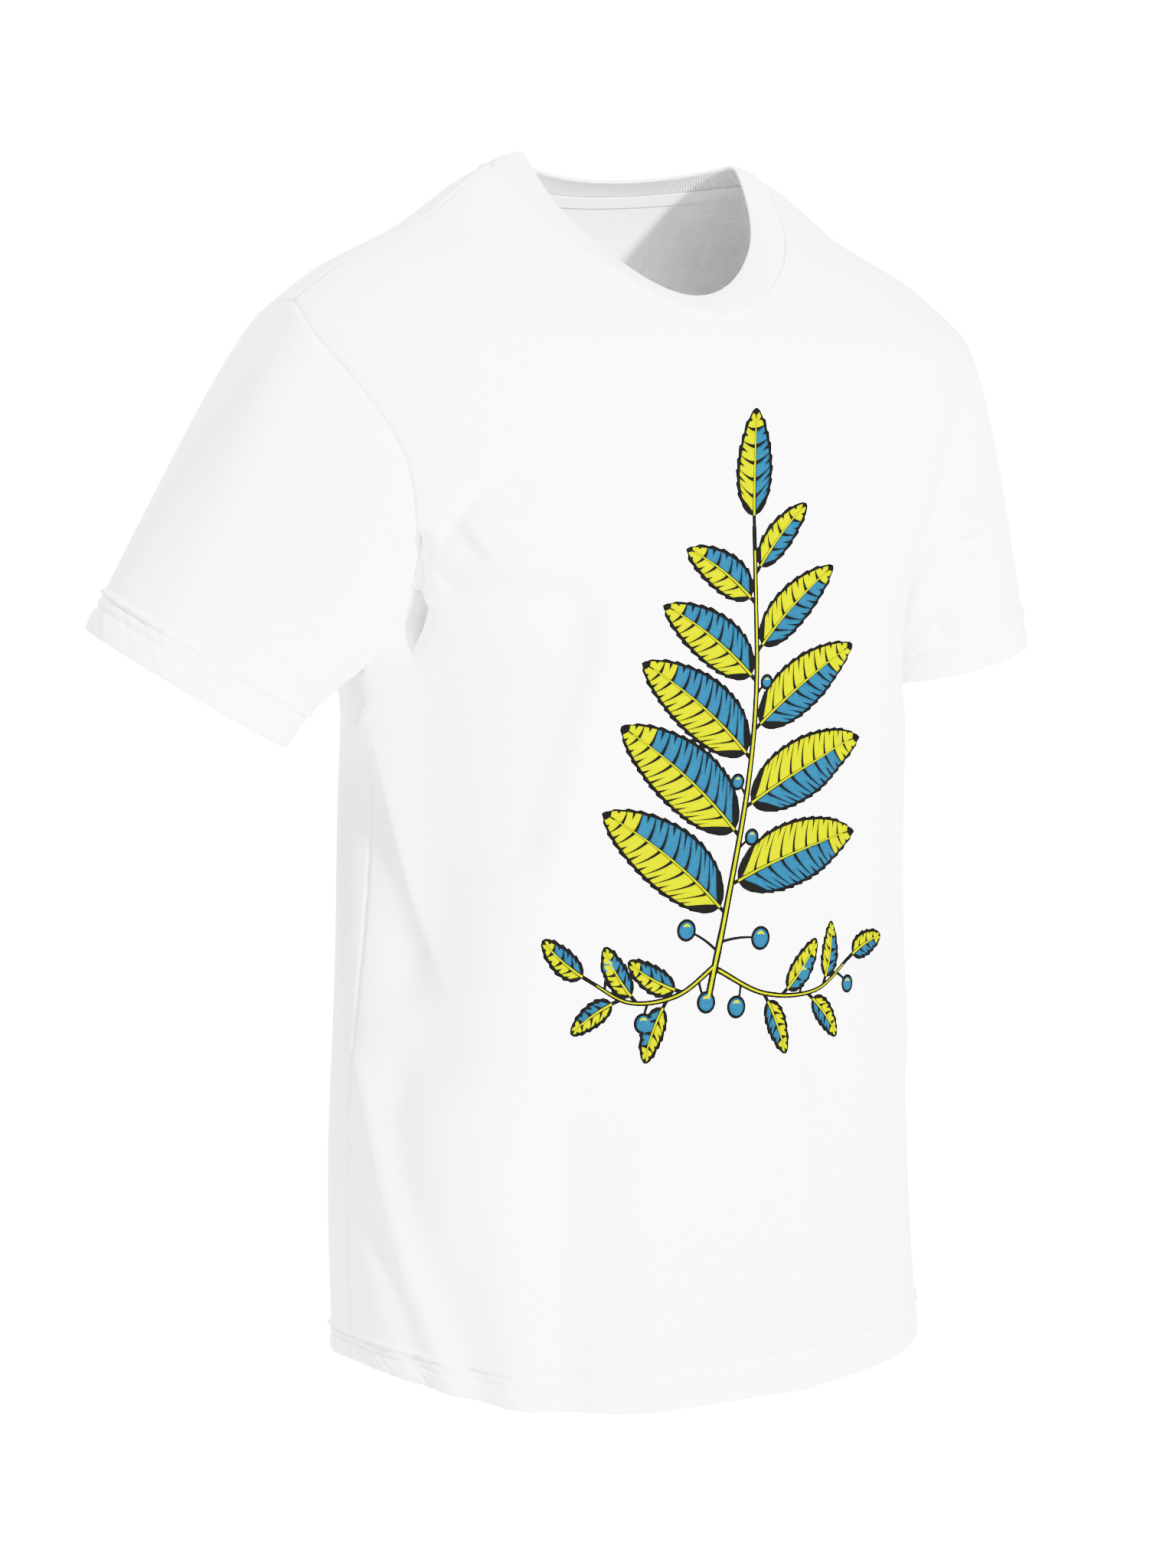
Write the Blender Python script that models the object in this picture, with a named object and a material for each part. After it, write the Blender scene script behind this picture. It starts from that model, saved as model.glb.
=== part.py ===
import math

import bpy
import numpy as np

# Short sleeved crew neck shirt, opened out as if worn, standing on its hem
# X is the wearer's left, the front faces minus Y and the hem is at height zero

for old in list(bpy.data.objects):
    bpy.data.objects.remove(old, do_unlink=True)

# Cloth thicknesses and seam gap
CLOTH = 0.0015
TURN_CLOTH = 0.0012
RIB_CLOTH = 0.0022
TAPE_CLOTH = 0.0009
GAP = 0.0003
TURN_GAP = 0.0011
TAPE_GAP = 0.0016

# Middle of the finished shirt in these coordinates, which becomes the origin
MIDDLE = (-0.0028, -0.0085, 0.0)

# Body outline at each height
# height, half width, front depth, back depth
BODY = (
    (0.000, 0.197, 0.135, 0.112),
    (0.120, 0.200, 0.106, 0.110),
    (0.280, 0.1955, 0.0945, 0.108),
    (0.440, 0.1945, 0.103, 0.112),
    (0.540, 0.227, 0.114, 0.118),
    (0.615, 0.254, 0.099, 0.112),
    (0.655, 0.214, 0.0755, 0.100),
    (0.685, 0.155, 0.049, 0.086),
    (0.722, 0.099, 0.0175, 0.047),
    (0.732, 0.070, 0.0100, 0.030),
)
ROUNDNESS = 2.2
SIDE_RISE = 0.012
RISE_FADES = 0.150

# Neck seam oval and rib
NECK_HALF_WIDTH = 0.0985
NECK_FRONT = 0.089
NECK_BACK = 0.064
RIB_WIDTH = 0.0229
RIB_ARCH = 0.0012
LEAN_FRONT = 63.5
LEAN_SIDE = 68.5
LEAN_BACK = 62.0
TAPE_WIDTH = 0.010

# Armhole
SHOULDER_HEIGHT = 0.639
ARMPIT_HEIGHT = 0.449
ARMHOLE_FRONT = 32.8
ARMHOLE_BACK = 32.0
SHOULDER_SEAM_ARM = 8.0
SHOULDER_SEAM_NECK = 78.0

# Sleeve hem of each side, from the middle of the armhole
# outwards, backwards, down, half height, half depth, tilt, dip of the front of the hem
SLEEVE_RIGHT = (0.0663, 0.037, 0.126, 0.068, 0.046, 28.9, 15.5)
SLEEVE_LEFT = (0.0665, 0.037, 0.125, 0.0555, 0.056, 14.5, 0.0)
CROWN_REACH = 0.091
CROWN_SLOPE = 49.0
UNDERARM_REACH = 0.0735
HEM_REACH = 0.0975
SIDE_BULGE = 0.0515

# Turned up hems
BODY_TURN = 0.021
SLEEVE_TURN = 0.020

# Broad folds, each a path of compass angle and height with a half width and a height
FOLDS = (
    (((-62, 0.480), (-54, 0.494), (-47, 0.515), (-40, 0.531), (-35, 0.527)), 0.009, 0.0030),
    (((-60, 0.455), (-48, 0.480), (-38, 0.505), (-33, 0.500)), 0.014, -0.0035),
    (((-90, 0.400), (-82, 0.374), (-73, 0.317), (-60, 0.265)), 0.010, 0.0035),
    (((-80, 0.400), (-70, 0.350), (-60, 0.310)), 0.016, -0.0025),
    (((-96, 0.160), (-88, 0.110), (-80, 0.070), (-72, 0.025)), 0.010, 0.0045),
    (((-84, 0.210), (-75, 0.130), (-64, 0.050)), 0.015, -0.0040),
    (((-52, 0.180), (-53, 0.100), (-57, 0.010)), 0.018, 0.0030),
    (((-36, 0.170), (-38, 0.100), (-42, 0.010)), 0.017, -0.0035),
    (((-24, 0.160), (-28, 0.080), (-30, 0.005)), 0.018, 0.0030),
    (((48, 0.430), (40, 0.360), (42, 0.200)), 0.014, -0.0020),
    (((62, 0.420), (60, 0.300), (66, 0.150)), 0.016, 0.0025),
    (((150, 0.450), (140, 0.250), (148, 0.020)), 0.022, -0.0040),
    (((-160, 0.400), (-150, 0.200), (-154, 0.010)), 0.024, 0.0040),
    (((-125, 0.420), (-120, 0.250), (-128, 0.060)), 0.020, -0.0035),
    (((178, 0.300), (172, 0.120), (176, 0.000)), 0.024, 0.0035),
)

# Mesh steps
SHOULDER_STEPS = 6
NECK_STEPS = 15
SIDE_STEPS = 16
ARMHOLE_STEPS = 16
SLEEVE_ALONG = 11
HALF_PI = math.pi / 2


# Surface of the body

def station(height, column):
    heights = np.array([row[0] for row in BODY])
    values = np.array([row[column] for row in BODY])
    steps = np.diff(values) / np.diff(heights)
    slopes = np.zeros(len(values))
    for i in range(1, len(values) - 1):
        if steps[i - 1] * steps[i] > 0:
            before = heights[i] - heights[i - 1]
            after = heights[i + 1] - heights[i]
            w1 = 2 * after + before
            w2 = after + 2 * before
            slopes[i] = (w1 + w2) / (w1 / steps[i - 1] + w2 / steps[i])
    slopes[0] = steps[0]
    slopes[-1] = steps[-1]
    h = np.clip(height, heights[0], heights[-1])
    k = np.clip(np.searchsorted(heights, h, side="right") - 1, 0, len(heights) - 2)
    width = heights[k + 1] - heights[k]
    t = (h - heights[k]) / width
    low = values[k] * (2 * t**3 - 3 * t**2 + 1) + slopes[k] * width * (t**3 - 2 * t**2 + t)
    return low + values[k + 1] * (-2 * t**3 + 3 * t**2) + slopes[k + 1] * width * (t**3 - t**2)


def ring(angle, height):
    angle, height = np.broadcast_arrays(np.asarray(angle, float), np.asarray(height, float))
    s = np.sin(angle)
    c = np.cos(angle)
    depth = np.where(c > 0, station(height, 2), station(height, 3))
    x = station(height, 1) * np.sign(s) * np.abs(s)**(2 / ROUNDNESS)
    y = -depth * np.sign(c) * np.abs(c)**(2 / ROUNDNESS)
    rise = SIDE_RISE * (np.abs(x) / BODY[0][1])**4 * np.clip(1 - height / RISE_FADES, 0, 1)**2
    return np.stack([x, y, height + rise], -1)


def unit(v):
    return v / np.maximum(np.linalg.norm(v, axis=-1, keepdims=True), 1e-9)


def path_distance(points, path):
    near = np.full(points.shape[:-1], 9.0)
    for a, b in zip(path[:-1], path[1:]):
        along = b - a
        t = np.clip(((points - a) @ along) / (along @ along), 0, 1)
        gap = np.linalg.norm(points - a - t[..., None] * along, axis=-1)
        near = np.minimum(near, gap)
    return near


FOLD_PATHS = []
for stops, spread, height in FOLDS:
    path = [ring(math.radians(angle), level) for angle, level in stops]
    FOLD_PATHS.append((path, spread, height))


def body(angle, height):
    flat = ring(angle, height)
    e = 0.002
    across = ring(angle + e, height) - ring(angle - e, height)
    top = np.minimum(height + e, BODY[-1][0])
    up = ring(angle, top) - ring(angle, top - 2 * e)
    out = unit(np.cross(across, up))
    push = np.zeros(flat.shape[:-1])
    for path, spread, size in FOLD_PATHS:
        push += size * np.exp(-(path_distance(flat, path) / spread)**2)
    push = push * np.clip(1 - (height - 0.45) / 0.12, 0, 1)
    out[..., 2] = out[..., 2] * np.clip(height / 0.05, 0, 1)
    return flat + out * push[..., None]


def body_normal(angle, height):
    e = 0.004
    across = body(angle + e, height) - body(angle - e, height)
    top = np.minimum(height + e, BODY[-1][0])
    low = np.maximum(height - e, 0)
    out = np.cross(across, body(angle, top) - body(angle, low))
    out[..., 2] = out[..., 2] * np.clip(height / 0.05, 0, 1)
    return unit(out)


# Neckline and rib

def neck_height(angle):
    angle = np.asarray(angle, float)
    low = np.full(angle.shape, 0.56)
    high = np.full(angle.shape, BODY[-1][0])
    for _ in range(40):
        mid = (low + high) / 2
        q = ring(angle, mid)
        depth = np.where(q[..., 1] < 0, NECK_FRONT, NECK_BACK)
        reach = (q[..., 0] / NECK_HALF_WIDTH)**2 + (q[..., 1] / depth)**2
        low = np.where(reach > 1, mid, low)
        high = np.where(reach > 1, high, mid)
    return (low + high) / 2


def neck(angle):
    return body(angle, neck_height(angle))


def rib_top(angle):
    q = neck(angle)
    c = np.cos(angle)
    lean = LEAN_SIDE + (np.where(c > 0, LEAN_FRONT, LEAN_BACK) - LEAN_SIDE) * c**2
    lean = np.radians(lean)
    depth = np.where(q[..., 1] < 0, NECK_FRONT, NECK_BACK)
    outward = np.stack([q[..., 0] / NECK_HALF_WIDTH**2, q[..., 1] / depth**2, 0 * c], -1)
    up = np.array([0.0, 0.0, 1.0])
    step = up * np.cos(lean)[..., None] - unit(outward) * np.sin(lean)[..., None]
    return q + step * RIB_WIDTH


def rib_normal(angle):
    e = 0.01
    across = neck(angle + e) - neck(angle - e)
    return unit(np.cross(across, rib_top(angle) - neck(angle)))


def neck_mitre(angle):
    return unit(rib_normal(angle) + body_normal(angle, neck_height(angle) - 0.002))


# Armhole and sleeves

def armhole(turn, side):
    middle = (SHOULDER_HEIGHT + ARMPIT_HEIGHT) / 2
    half = (SHOULDER_HEIGHT - ARMPIT_HEIGHT) / 2
    s = np.sin(turn)
    cut = np.radians(np.where(s > 0, ARMHOLE_FRONT, ARMHOLE_BACK))
    return side * (HALF_PI - cut * s), middle + half * np.cos(turn)


def sleeve(turn, along, side):
    turn, along = np.broadcast_arrays(np.asarray(turn, float), np.asarray(along, float))
    out, back, drop, tall, deep, tilt, dip = SLEEVE_LEFT if side > 0 else SLEEVE_RIGHT
    tilt = math.radians(tilt)
    dip = math.radians(dip)
    angle, height = armhole(turn, side)
    start = body(angle, height)
    high = ring(side * HALF_PI, SHOULDER_HEIGHT)
    low = ring(side * HALF_PI, ARMPIT_HEIGHT)
    centre = (high + low) / 2 + np.array([side * out, back, -drop])
    c = np.cos(turn)
    s = np.sin(turn)
    lift = np.array([side * math.cos(tilt), 0, math.sin(tilt)])
    fore = np.array([0, -math.cos(dip), -math.sin(dip)])
    end = centre + (tall * c)[..., None] * lift + (deep * s)[..., None] * fore
    crown = np.clip(c, 0, 1)[..., None]
    under = np.clip(-c, 0, 1)[..., None]
    slope = math.radians(CROWN_SLOPE)
    crown_way = np.array([side * math.cos(slope), 0.1, -math.sin(slope)]) * CROWN_REACH
    under_way = np.array([side * 0.35, -0.25, -0.9]) * UNDERARM_REACH
    bulge = np.array([side * SIDE_BULGE, 0, 0])
    side_way = (end - start) * 0.9 + bulge
    leave = crown * crown_way + under * under_way + (1 - crown - under) * side_way
    arrive = np.array([side * math.sin(tilt), 0, -math.cos(tilt)]) * HEM_REACH
    t = along[..., None]
    first = start * (2 * t**3 - 3 * t**2 + 1) + leave * (t**3 - 2 * t**2 + t)
    return first + end * (-2 * t**3 + 3 * t**2) + arrive * (t**3 - t**2)


def sleeve_normal(turn, along, side):
    e = 0.01
    across = sleeve(turn + e, along, side) - sleeve(turn - e, along, side)
    low = np.maximum(along - e, 0)
    high = np.minimum(along + e, 1)
    down = sleeve(turn, high, side) - sleeve(turn, low, side)
    return unit(np.cross(across, down)) * side


def arm_mitre(turn, side):
    angle, height = armhole(turn, side)
    return unit(body_normal(angle, height) + sleeve_normal(turn, np.full(turn.shape, 0.03), side))


# Unrolled coordinates, in which each panel's grid is laid out

HEIGHTS = np.linspace(0, BODY[-1][0], 181)
SPREAD = np.linspace(-math.radians(112), math.radians(112), 337)


def unrolled_table(middle):
    h, p = np.meshgrid(HEIGHTS, SPREAD, indexing="ij")
    steps = np.linalg.norm(np.diff(ring(middle + p, h), axis=1), axis=-1)
    length = np.concatenate([np.zeros((len(HEIGHTS), 1)), np.cumsum(steps, 1)], 1)
    return length - length[:, [len(SPREAD) // 2]]


TABLES = {0: unrolled_table(0.0), 1: unrolled_table(math.pi)}


def table_row(half, height):
    k = min(max(int(height / HEIGHTS[1]), 0), len(HEIGHTS) - 2)
    f = height / HEIGHTS[1] - k
    return TABLES[half][k] * (1 - f) + TABLES[half][k + 1] * f


def unroll(half, angles, heights):
    widths = [np.interp(a, SPREAD, table_row(half, h)) for a, h in zip(angles, heights)]
    return np.stack([np.array(widths), heights], -1)


def roll_up(half, flat):
    angles = np.zeros(flat.shape[:2])
    for i in range(flat.shape[0]):
        for j in range(flat.shape[1]):
            width, height = flat[i, j]
            angles[i, j] = np.interp(width, table_row(half, height), SPREAD)
    return angles


def even(values, points, count):
    """Values that cut the line through the points into equal lengths."""
    lengths = np.concatenate([[0], np.cumsum(np.linalg.norm(np.diff(points, axis=0), axis=1))])
    return np.interp(np.linspace(0, lengths[-1], count + 1), lengths, values)


SEAM_TURN = math.radians(SHOULDER_SEAM_ARM)
ARM_TURNS = []
for first in (math.pi, -math.pi):
    turns = np.linspace(first, SEAM_TURN, 200)
    ARM_TURNS.append(even(turns, ring(*armhole(turns, 1)), ARMHOLE_STEPS))
NECK_ENDS = (math.radians(SHOULDER_SEAM_NECK), math.pi - math.radians(SHOULDER_SEAM_NECK))
NECK_ANGLES = []
for half in (0, 1):
    angles = np.linspace(0, NECK_ENDS[half], 200)
    true = angles if half == 0 else math.pi - angles
    NECK_ANGLES.append(even(angles, ring(true, neck_height(true)), NECK_STEPS))


def panel_grid(half):
    heights = np.linspace(0, ARMPIT_HEIGHT, SIDE_STEPS + 1)
    side = unroll(half, np.full(heights.shape, HALF_PI), heights)
    angle, level = armhole(ARM_TURNS[half], 1)
    angle = angle if half == 0 else math.pi - angle
    arm = unroll(half, angle, level)
    side = np.concatenate([side, arm[1:]])
    across = NECK_ANGLES[half]
    neck_level = neck_height(across if half == 0 else math.pi - across)
    line = unroll(half, across, neck_level)
    t = np.linspace(0, 1, SHOULDER_STEPS + 1)
    shoulder_angle = NECK_ENDS[half] + (angle[-1] - NECK_ENDS[half]) * t
    shoulder_height = neck_level[-1] + (level[-1] - neck_level[-1]) * t
    shoulder = unroll(half, shoulder_angle, shoulder_height)
    top = np.concatenate([line, shoulder[1:]])
    mirror = np.array([-1, 1])
    top = np.concatenate([top[::-1] * mirror, top[1:]])
    across_steps = len(top) - 1
    bottom = np.stack([np.linspace(-side[0, 0], side[0, 0], across_steps + 1)] * 2, -1)
    bottom[:, 1] = 0
    left = side * mirror
    u = np.linspace(0, 1, across_steps + 1)[:, None, None]
    v = np.linspace(0, 1, len(side))[None, :, None]
    corners = (1 - u) * (1 - v) * bottom[0] + u * (1 - v) * bottom[-1]
    corners = corners + (1 - u) * v * top[0] + u * v * top[-1]
    flat = (1 - v) * bottom[:, None] + v * top[:, None] + (1 - u) * left[None] + u * side[None] - corners
    for _ in range(40):
        inner = (flat[2:, 1:-1] + flat[:-2, 1:-1] + flat[1:-1, 2:] + flat[1:-1, :-2]) / 4
        flat[1:-1, 1:-1] = inner
    angles = roll_up(half, flat)
    angles = angles if half == 0 else math.pi + angles
    return angles, flat[..., 1]


# Closed shells from a grid of outer points

def material(name, colour, rough):
    made = bpy.data.materials.new(name)
    made.use_nodes = True
    shader = made.node_tree.nodes["Principled BSDF"]
    shader.inputs["Base Color"].default_value = (*colour, 1)
    shader.inputs["Roughness"].default_value = rough
    return made


COLLECTION = bpy.data.collections.new("crew_neck_shirt")
bpy.context.scene.collection.children.link(COLLECTION)
JERSEY = material("white_jersey", (0.86, 0.86, 0.85), 0.85)
RIB = material("white_rib", (0.88, 0.88, 0.87), 0.85)
TAPE = material("white_tape", (0.82, 0.82, 0.81), 0.80)


def wall(faces, points, inner, step, one, two, back):
    """Closes an edge between two grid points, bent away from the neighbouring piece."""
    flat = points.reshape(-1, 3)
    deep = inner.reshape(-1, 3)
    inward = flat[back] - flat[one]
    bend = (flat[one] + deep[two] - flat[two] - deep[one]) @ inward
    if bend > 0:
        faces.append((one, two, two + step))
        faces.append((one, two + step, one + step))
    else:
        faces.append((one, two, one + step))
        faces.append((two, two + step, one + step))


def shell(name, points, normals, thick, look, closed=False):
    """Outer grid and the same grid moved inwards, with its open edges walled."""
    rows, columns = points.shape[:2]
    inner = points - normals * thick
    vertices = np.concatenate([points.reshape(-1, 3), inner.reshape(-1, 3)]) - MIDDLE
    step = rows * columns
    faces = []
    count = rows if closed else rows - 1
    for i in range(count):
        n = (i + 1) % rows
        for j in range(columns - 1):
            a = i * columns + j
            b = n * columns + j
            faces.append((a, b, b + 1, a + 1))
            faces.append((a + 1 + step, b + 1 + step, b + step, a + step))
        low = i * columns
        low_next = n * columns
        wall(faces, points, inner, step, low_next, low, low_next + 1)
        wall(faces, points, inner, step, low + columns - 1, low_next + columns - 1, low + columns - 2)
    if not closed:
        last = (rows - 1) * columns
        for j in range(columns - 1):
            wall(faces, points, inner, step, j, j + 1, j + columns)
            wall(faces, points, inner, step, last + j + 1, last + j, last + j - columns)
    mesh = bpy.data.meshes.new(name)
    mesh.from_pydata([tuple(v) for v in vertices], [], faces)
    mesh.validate()
    mesh.update()
    mesh.shade_smooth()
    made = bpy.data.objects.new(name, mesh)
    made.data.materials.append(look)
    COLLECTION.objects.link(made)
    return made


def draw_in(points, first, last, amount):
    """Moves one or both end columns of a grid inwards along the grid by a distance."""
    if first:
        points[:, 0] = points[:, 0] + unit(points[:, 1] - points[:, 0]) * amount
    if last:
        points[:, -1] = points[:, -1] + unit(points[:, -2] - points[:, -1]) * amount


# Front and back panels

def panel(name, half):
    angles, heights = panel_grid(half)
    points = body(angles, heights)
    normals = body_normal(angles, heights)
    for column, side in ((0, -1), (-1, 1)):
        side_now = side if half == 0 else -side
        normals[column, SIDE_STEPS:] = arm_mitre(ARM_TURNS[half], side_now)
    neck_part = slice(SHOULDER_STEPS, angles.shape[0] - SHOULDER_STEPS)
    normals[neck_part, -1] = neck_mitre(angles[neck_part, -1])
    draw_in(points, False, True, GAP / 2)
    turned = points.transpose(1, 0, 2)
    draw_in(turned, True, True, GAP / 2)
    return shell(name, points, normals, CLOTH, JERSEY)


panel("front_panel", 0)
panel("back_panel", 1)


# Sleeves

def sleeve_turns():
    return np.concatenate([ARM_TURNS[1][:-1], ARM_TURNS[0][::-1][:-1]])


def sleeve_piece(name, side):
    turn = sleeve_turns()
    along = np.linspace(0, 1, SLEEVE_ALONG + 1)
    turns, alongs = np.meshgrid(turn, along, indexing="ij")
    points = sleeve(turns, alongs, side)
    normals = sleeve_normal(turns, alongs, side)
    normals[:, 0] = arm_mitre(turn, side)
    draw_in(points, True, False, GAP * 2)
    if side < 0:
        points = points[::-1]
        normals = normals[::-1]
    return shell(name, points, normals, CLOTH, JERSEY, closed=True)


sleeve_piece("sleeve_right", -1)
sleeve_piece("sleeve_left", 1)


# Rib at the neck, a double layer

front = np.concatenate([-NECK_ANGLES[0][:0:-1], NECK_ANGLES[0]])
back = math.pi + np.concatenate([-NECK_ANGLES[1][:0:-1], NECK_ANGLES[1]])
angles = np.concatenate([front, back[1:-1]])
low = neck(angles)
high = rib_top(angles)
out = rib_normal(angles)
across = np.linspace(0, 1, 5)[None, :, None]
points = low[:, None] * (1 - across) + high[:, None] * across
points = points + out[:, None] * (4 * across * (1 - across)) * RIB_ARCH
normals = np.repeat(out[:, None], 5, axis=1)
normals[:, 0] = neck_mitre(angles)
draw_in(points, True, False, GAP / 2)
shell("neck_rib", points, normals, RIB_CLOTH, RIB, closed=True)


# Tape that covers the neck seam inside the back

angles = back[5:-5]
rows = []
for drop in (0.0025 + TAPE_WIDTH, 0.0025 + TAPE_WIDTH / 2, 0.0025):
    level = neck_height(angles) - drop * 0.62
    rows.append(body(angles, level) - body_normal(angles, level) * (CLOTH + TAPE_GAP))
points = np.stack(rows, 1)
level = np.stack([neck_height(angles) - 0.004] * 3, 1)
normals = body_normal(np.stack([angles] * 3, 1), level)
shell("neck_tape", points, normals, TAPE_CLOTH, TAPE)


# Turned up layer inside each hem

def body_turn(name, half):
    heights = np.linspace(0, BODY_TURN, 3)
    edges = unroll(half, np.full(3, HALF_PI), heights)[:, 0] - 0.0012
    shares = np.linspace(-1, 1, 2 * (SHOULDER_STEPS + NECK_STEPS) + 1)
    flat = np.stack(np.meshgrid(shares, heights, indexing="ij"), -1)
    flat[..., 0] = flat[..., 0] * edges
    angles = roll_up(half, flat) + half * math.pi
    heights = flat[..., 1]
    normals = unit(body_normal(angles, heights) * np.array([1, 1, 0]))
    points = body(angles, heights) - normals * (CLOTH + TURN_GAP)
    return shell(name, points, normals, TURN_CLOTH, JERSEY)


body_turn("front_hem_turn", 0)
body_turn("back_hem_turn", 1)


def sleeve_turn(name, side):
    turn = sleeve_turns()
    rows = []
    outs = []
    for share in (1.0, 0.5, 0.0):
        step = 0.02
        end = sleeve(turn, np.full(turn.shape, 1.0), side)
        before = sleeve(turn, np.full(turn.shape, 1.0 - step), side)
        rate = np.linalg.norm(end - before, axis=-1) / step
        along = 1.0 - share * SLEEVE_TURN / rate
        way = sleeve_normal(turn, along, side)
        outs.append(way)
        rows.append(sleeve(turn, along, side) - way * (CLOTH + TURN_GAP))
    points = np.stack(rows, 1)
    normals = np.stack(outs, 1)
    if side < 0:
        points = points[::-1]
        normals = normals[::-1]
    return shell(name, points, normals, TURN_CLOTH, JERSEY, closed=True)


sleeve_turn("sleeve_hem_turn_right", -1)
sleeve_turn("sleeve_hem_turn_left", 1)
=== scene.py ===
import math

import bpy
import numpy as np
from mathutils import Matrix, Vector
from mathutils.geometry import delaunay_2d_cdt


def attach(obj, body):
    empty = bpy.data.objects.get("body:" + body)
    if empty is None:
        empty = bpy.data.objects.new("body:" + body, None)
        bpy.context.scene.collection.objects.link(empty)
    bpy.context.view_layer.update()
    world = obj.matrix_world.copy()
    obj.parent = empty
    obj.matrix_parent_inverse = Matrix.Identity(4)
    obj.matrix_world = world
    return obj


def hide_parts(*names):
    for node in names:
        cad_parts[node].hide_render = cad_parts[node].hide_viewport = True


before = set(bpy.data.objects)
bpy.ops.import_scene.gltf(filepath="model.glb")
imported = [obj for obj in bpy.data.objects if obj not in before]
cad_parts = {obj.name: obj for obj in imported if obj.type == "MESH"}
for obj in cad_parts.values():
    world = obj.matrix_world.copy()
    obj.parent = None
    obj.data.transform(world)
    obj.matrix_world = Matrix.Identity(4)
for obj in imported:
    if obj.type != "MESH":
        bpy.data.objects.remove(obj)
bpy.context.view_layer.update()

# Front and back panels
# Two cuts of fine white cotton jersey, joined at the sides and over the shoulders.
# They hang from the chest and shoulders in broad folds, and each hem is turned up inside.

JERSEY = 0.0009

# Place in the shirt's own measures that stands at the origin of the frame
MIDDLE = Vector((-0.0028, -0.0085, 0.0))
BODY = (
    # height, half width, front depth, back depth
    (0.000, 0.197, 0.135, 0.112),
    (0.120, 0.200, 0.106, 0.110),
    (0.280, 0.1955, 0.0945, 0.108),
    (0.440, 0.1945, 0.103, 0.112),
    (0.540, 0.227, 0.114, 0.118),
    (0.615, 0.254, 0.099, 0.112),
    (0.655, 0.214, 0.0755, 0.100),
    (0.685, 0.155, 0.049, 0.086),
    (0.722, 0.099, 0.0175, 0.047),
    (0.732, 0.070, 0.0100, 0.030),
)
# Two would make the body an ellipse from above, and more makes its corners fuller
ROUNDNESS = 2.2
# How much the hem rises at the right and the left side, and how far up the cloth follows it
SIDE_RISES = (0.022, 0.004)
RISE_FADES = 0.150
HALF_PI = math.pi / 2

NECK_HALF_WIDTH = 0.0985
NECK_FRONT = 0.089
NECK_BACK = 0.058
SHOULDER_HEIGHT = 0.639
ARMPIT_HEIGHT = 0.449
ARMHOLE_FRONT = 32.8
ARMHOLE_BACK = 32.0
SHOULDER_SEAM_ARM = 8.0
SHOULDER_SEAM_NECK = 78.0

# kind, stops of compass angle and height, half width, height of the fold
BODY_FOLDS = (
    ("step", ((-66, 0.480), (-56, 0.480), (-40, 0.479), (-30, 0.477), (-22, 0.472)), 0.011, 0.0062),
    ("step", ((-24, 0.476), (-26, 0.440), (-29, 0.405), (-32, 0.370), (-37, 0.300)), 0.013, 0.0060),
    ("soft", ((-26, 0.480), (-30, 0.400), (-39, 0.290), (-47, 0.190), (-57, 0.070)), 0.036, 0.0115),
    ("soft", ((-70, 0.500), (-67, 0.400), (-62, 0.290), (-62, 0.160)), 0.046, -0.0145),
    ("edge", ((-99, 0.450), (-92, 0.415), (-81, 0.362), (-69, 0.300), (-60, 0.262), (-54, 0.236)),
     0.016, 0.0085),
    ("soft", ((-104, 0.448), (-98, 0.425), (-92, 0.398)), 0.012, -0.0090),
    ("crisp", ((-58, 0.490), (-53, 0.503), (-48, 0.518), (-43, 0.530), (-37, 0.532), (-35, 0.520)),
     0.0050, -0.0042),
    ("soft", ((-60, 0.480), (-53, 0.490), (-46, 0.504)), 0.017, -0.0065),
    ("soft", ((-68, 0.468), (-73, 0.456), (-79, 0.446)), 0.014, -0.0135),
    ("crisp", ((-60, 0.512), (-62, 0.492), (-66, 0.472), (-72, 0.458), (-82, 0.440)), 0.008, -0.0160),
    ("crisp", ((-61, 0.506), (-55, 0.488)), 0.003, -0.0020),
    ("soft", ((-100, 0.215), (-85, 0.190), (-75, 0.142), (-68, 0.080), (-60, 0.015), (-57, -0.030)),
     0.008, 0.0028),
    ("soft", ((-100, 0.186), (-87, 0.135), (-76, 0.082), (-69, 0.028), (-65, -0.030)), 0.008, -0.0022),
    ("soft", ((-75, 0.225), (-69, 0.160), (-61, 0.080), (-53, 0.000), (-51, -0.030)), 0.015, -0.0038),
    ("soft", ((-42, 0.180), (-44, 0.090), (-45, 0.000), (-45, -0.030)), 0.015, 0.0055),
    ("soft", ((-29, 0.190), (-30, 0.110), (-33, 0.040), (-35, -0.030)), 0.014, -0.0060),
    ("soft", ((-16, 0.170), (-17, 0.080), (-19, 0.000), (-19, -0.030)), 0.016, 0.0030),
    ("soft", ((12, 0.210), (12, 0.110), (8, 0.030), (7, -0.030)), 0.020, 0.0050),
    ("soft", ((34, 0.440), (30, 0.365), (32, 0.240)), 0.020, -0.0036),
    ("soft", ((62, 0.420), (60, 0.300), (66, 0.150)), 0.018, 0.0035),
    ("soft", ((96, 0.400), (92, 0.270), (97, 0.120)), 0.018, -0.0040),
    ("soft", ((150, 0.450), (140, 0.250), (148, 0.020), (149, -0.030)), 0.022, -0.0060),
    ("soft", ((-160, 0.400), (-150, 0.200), (-154, 0.010), (-155, -0.030)), 0.024, 0.0060),
    ("soft", ((-125, 0.420), (-120, 0.250), (-128, 0.060)), 0.020, -0.0050),
    ("soft", ((178, 0.300), (172, 0.120), (176, 0.000), (177, -0.030)), 0.024, 0.0050),
)
# Steps along a fold, share of it over which its ends fade, and its reach in half widths
FOLD_STEPS = 14
FOLD_FADE = 0.16
FOLD_REACH = 3.2
WIDE_REACH = 1.6
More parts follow.
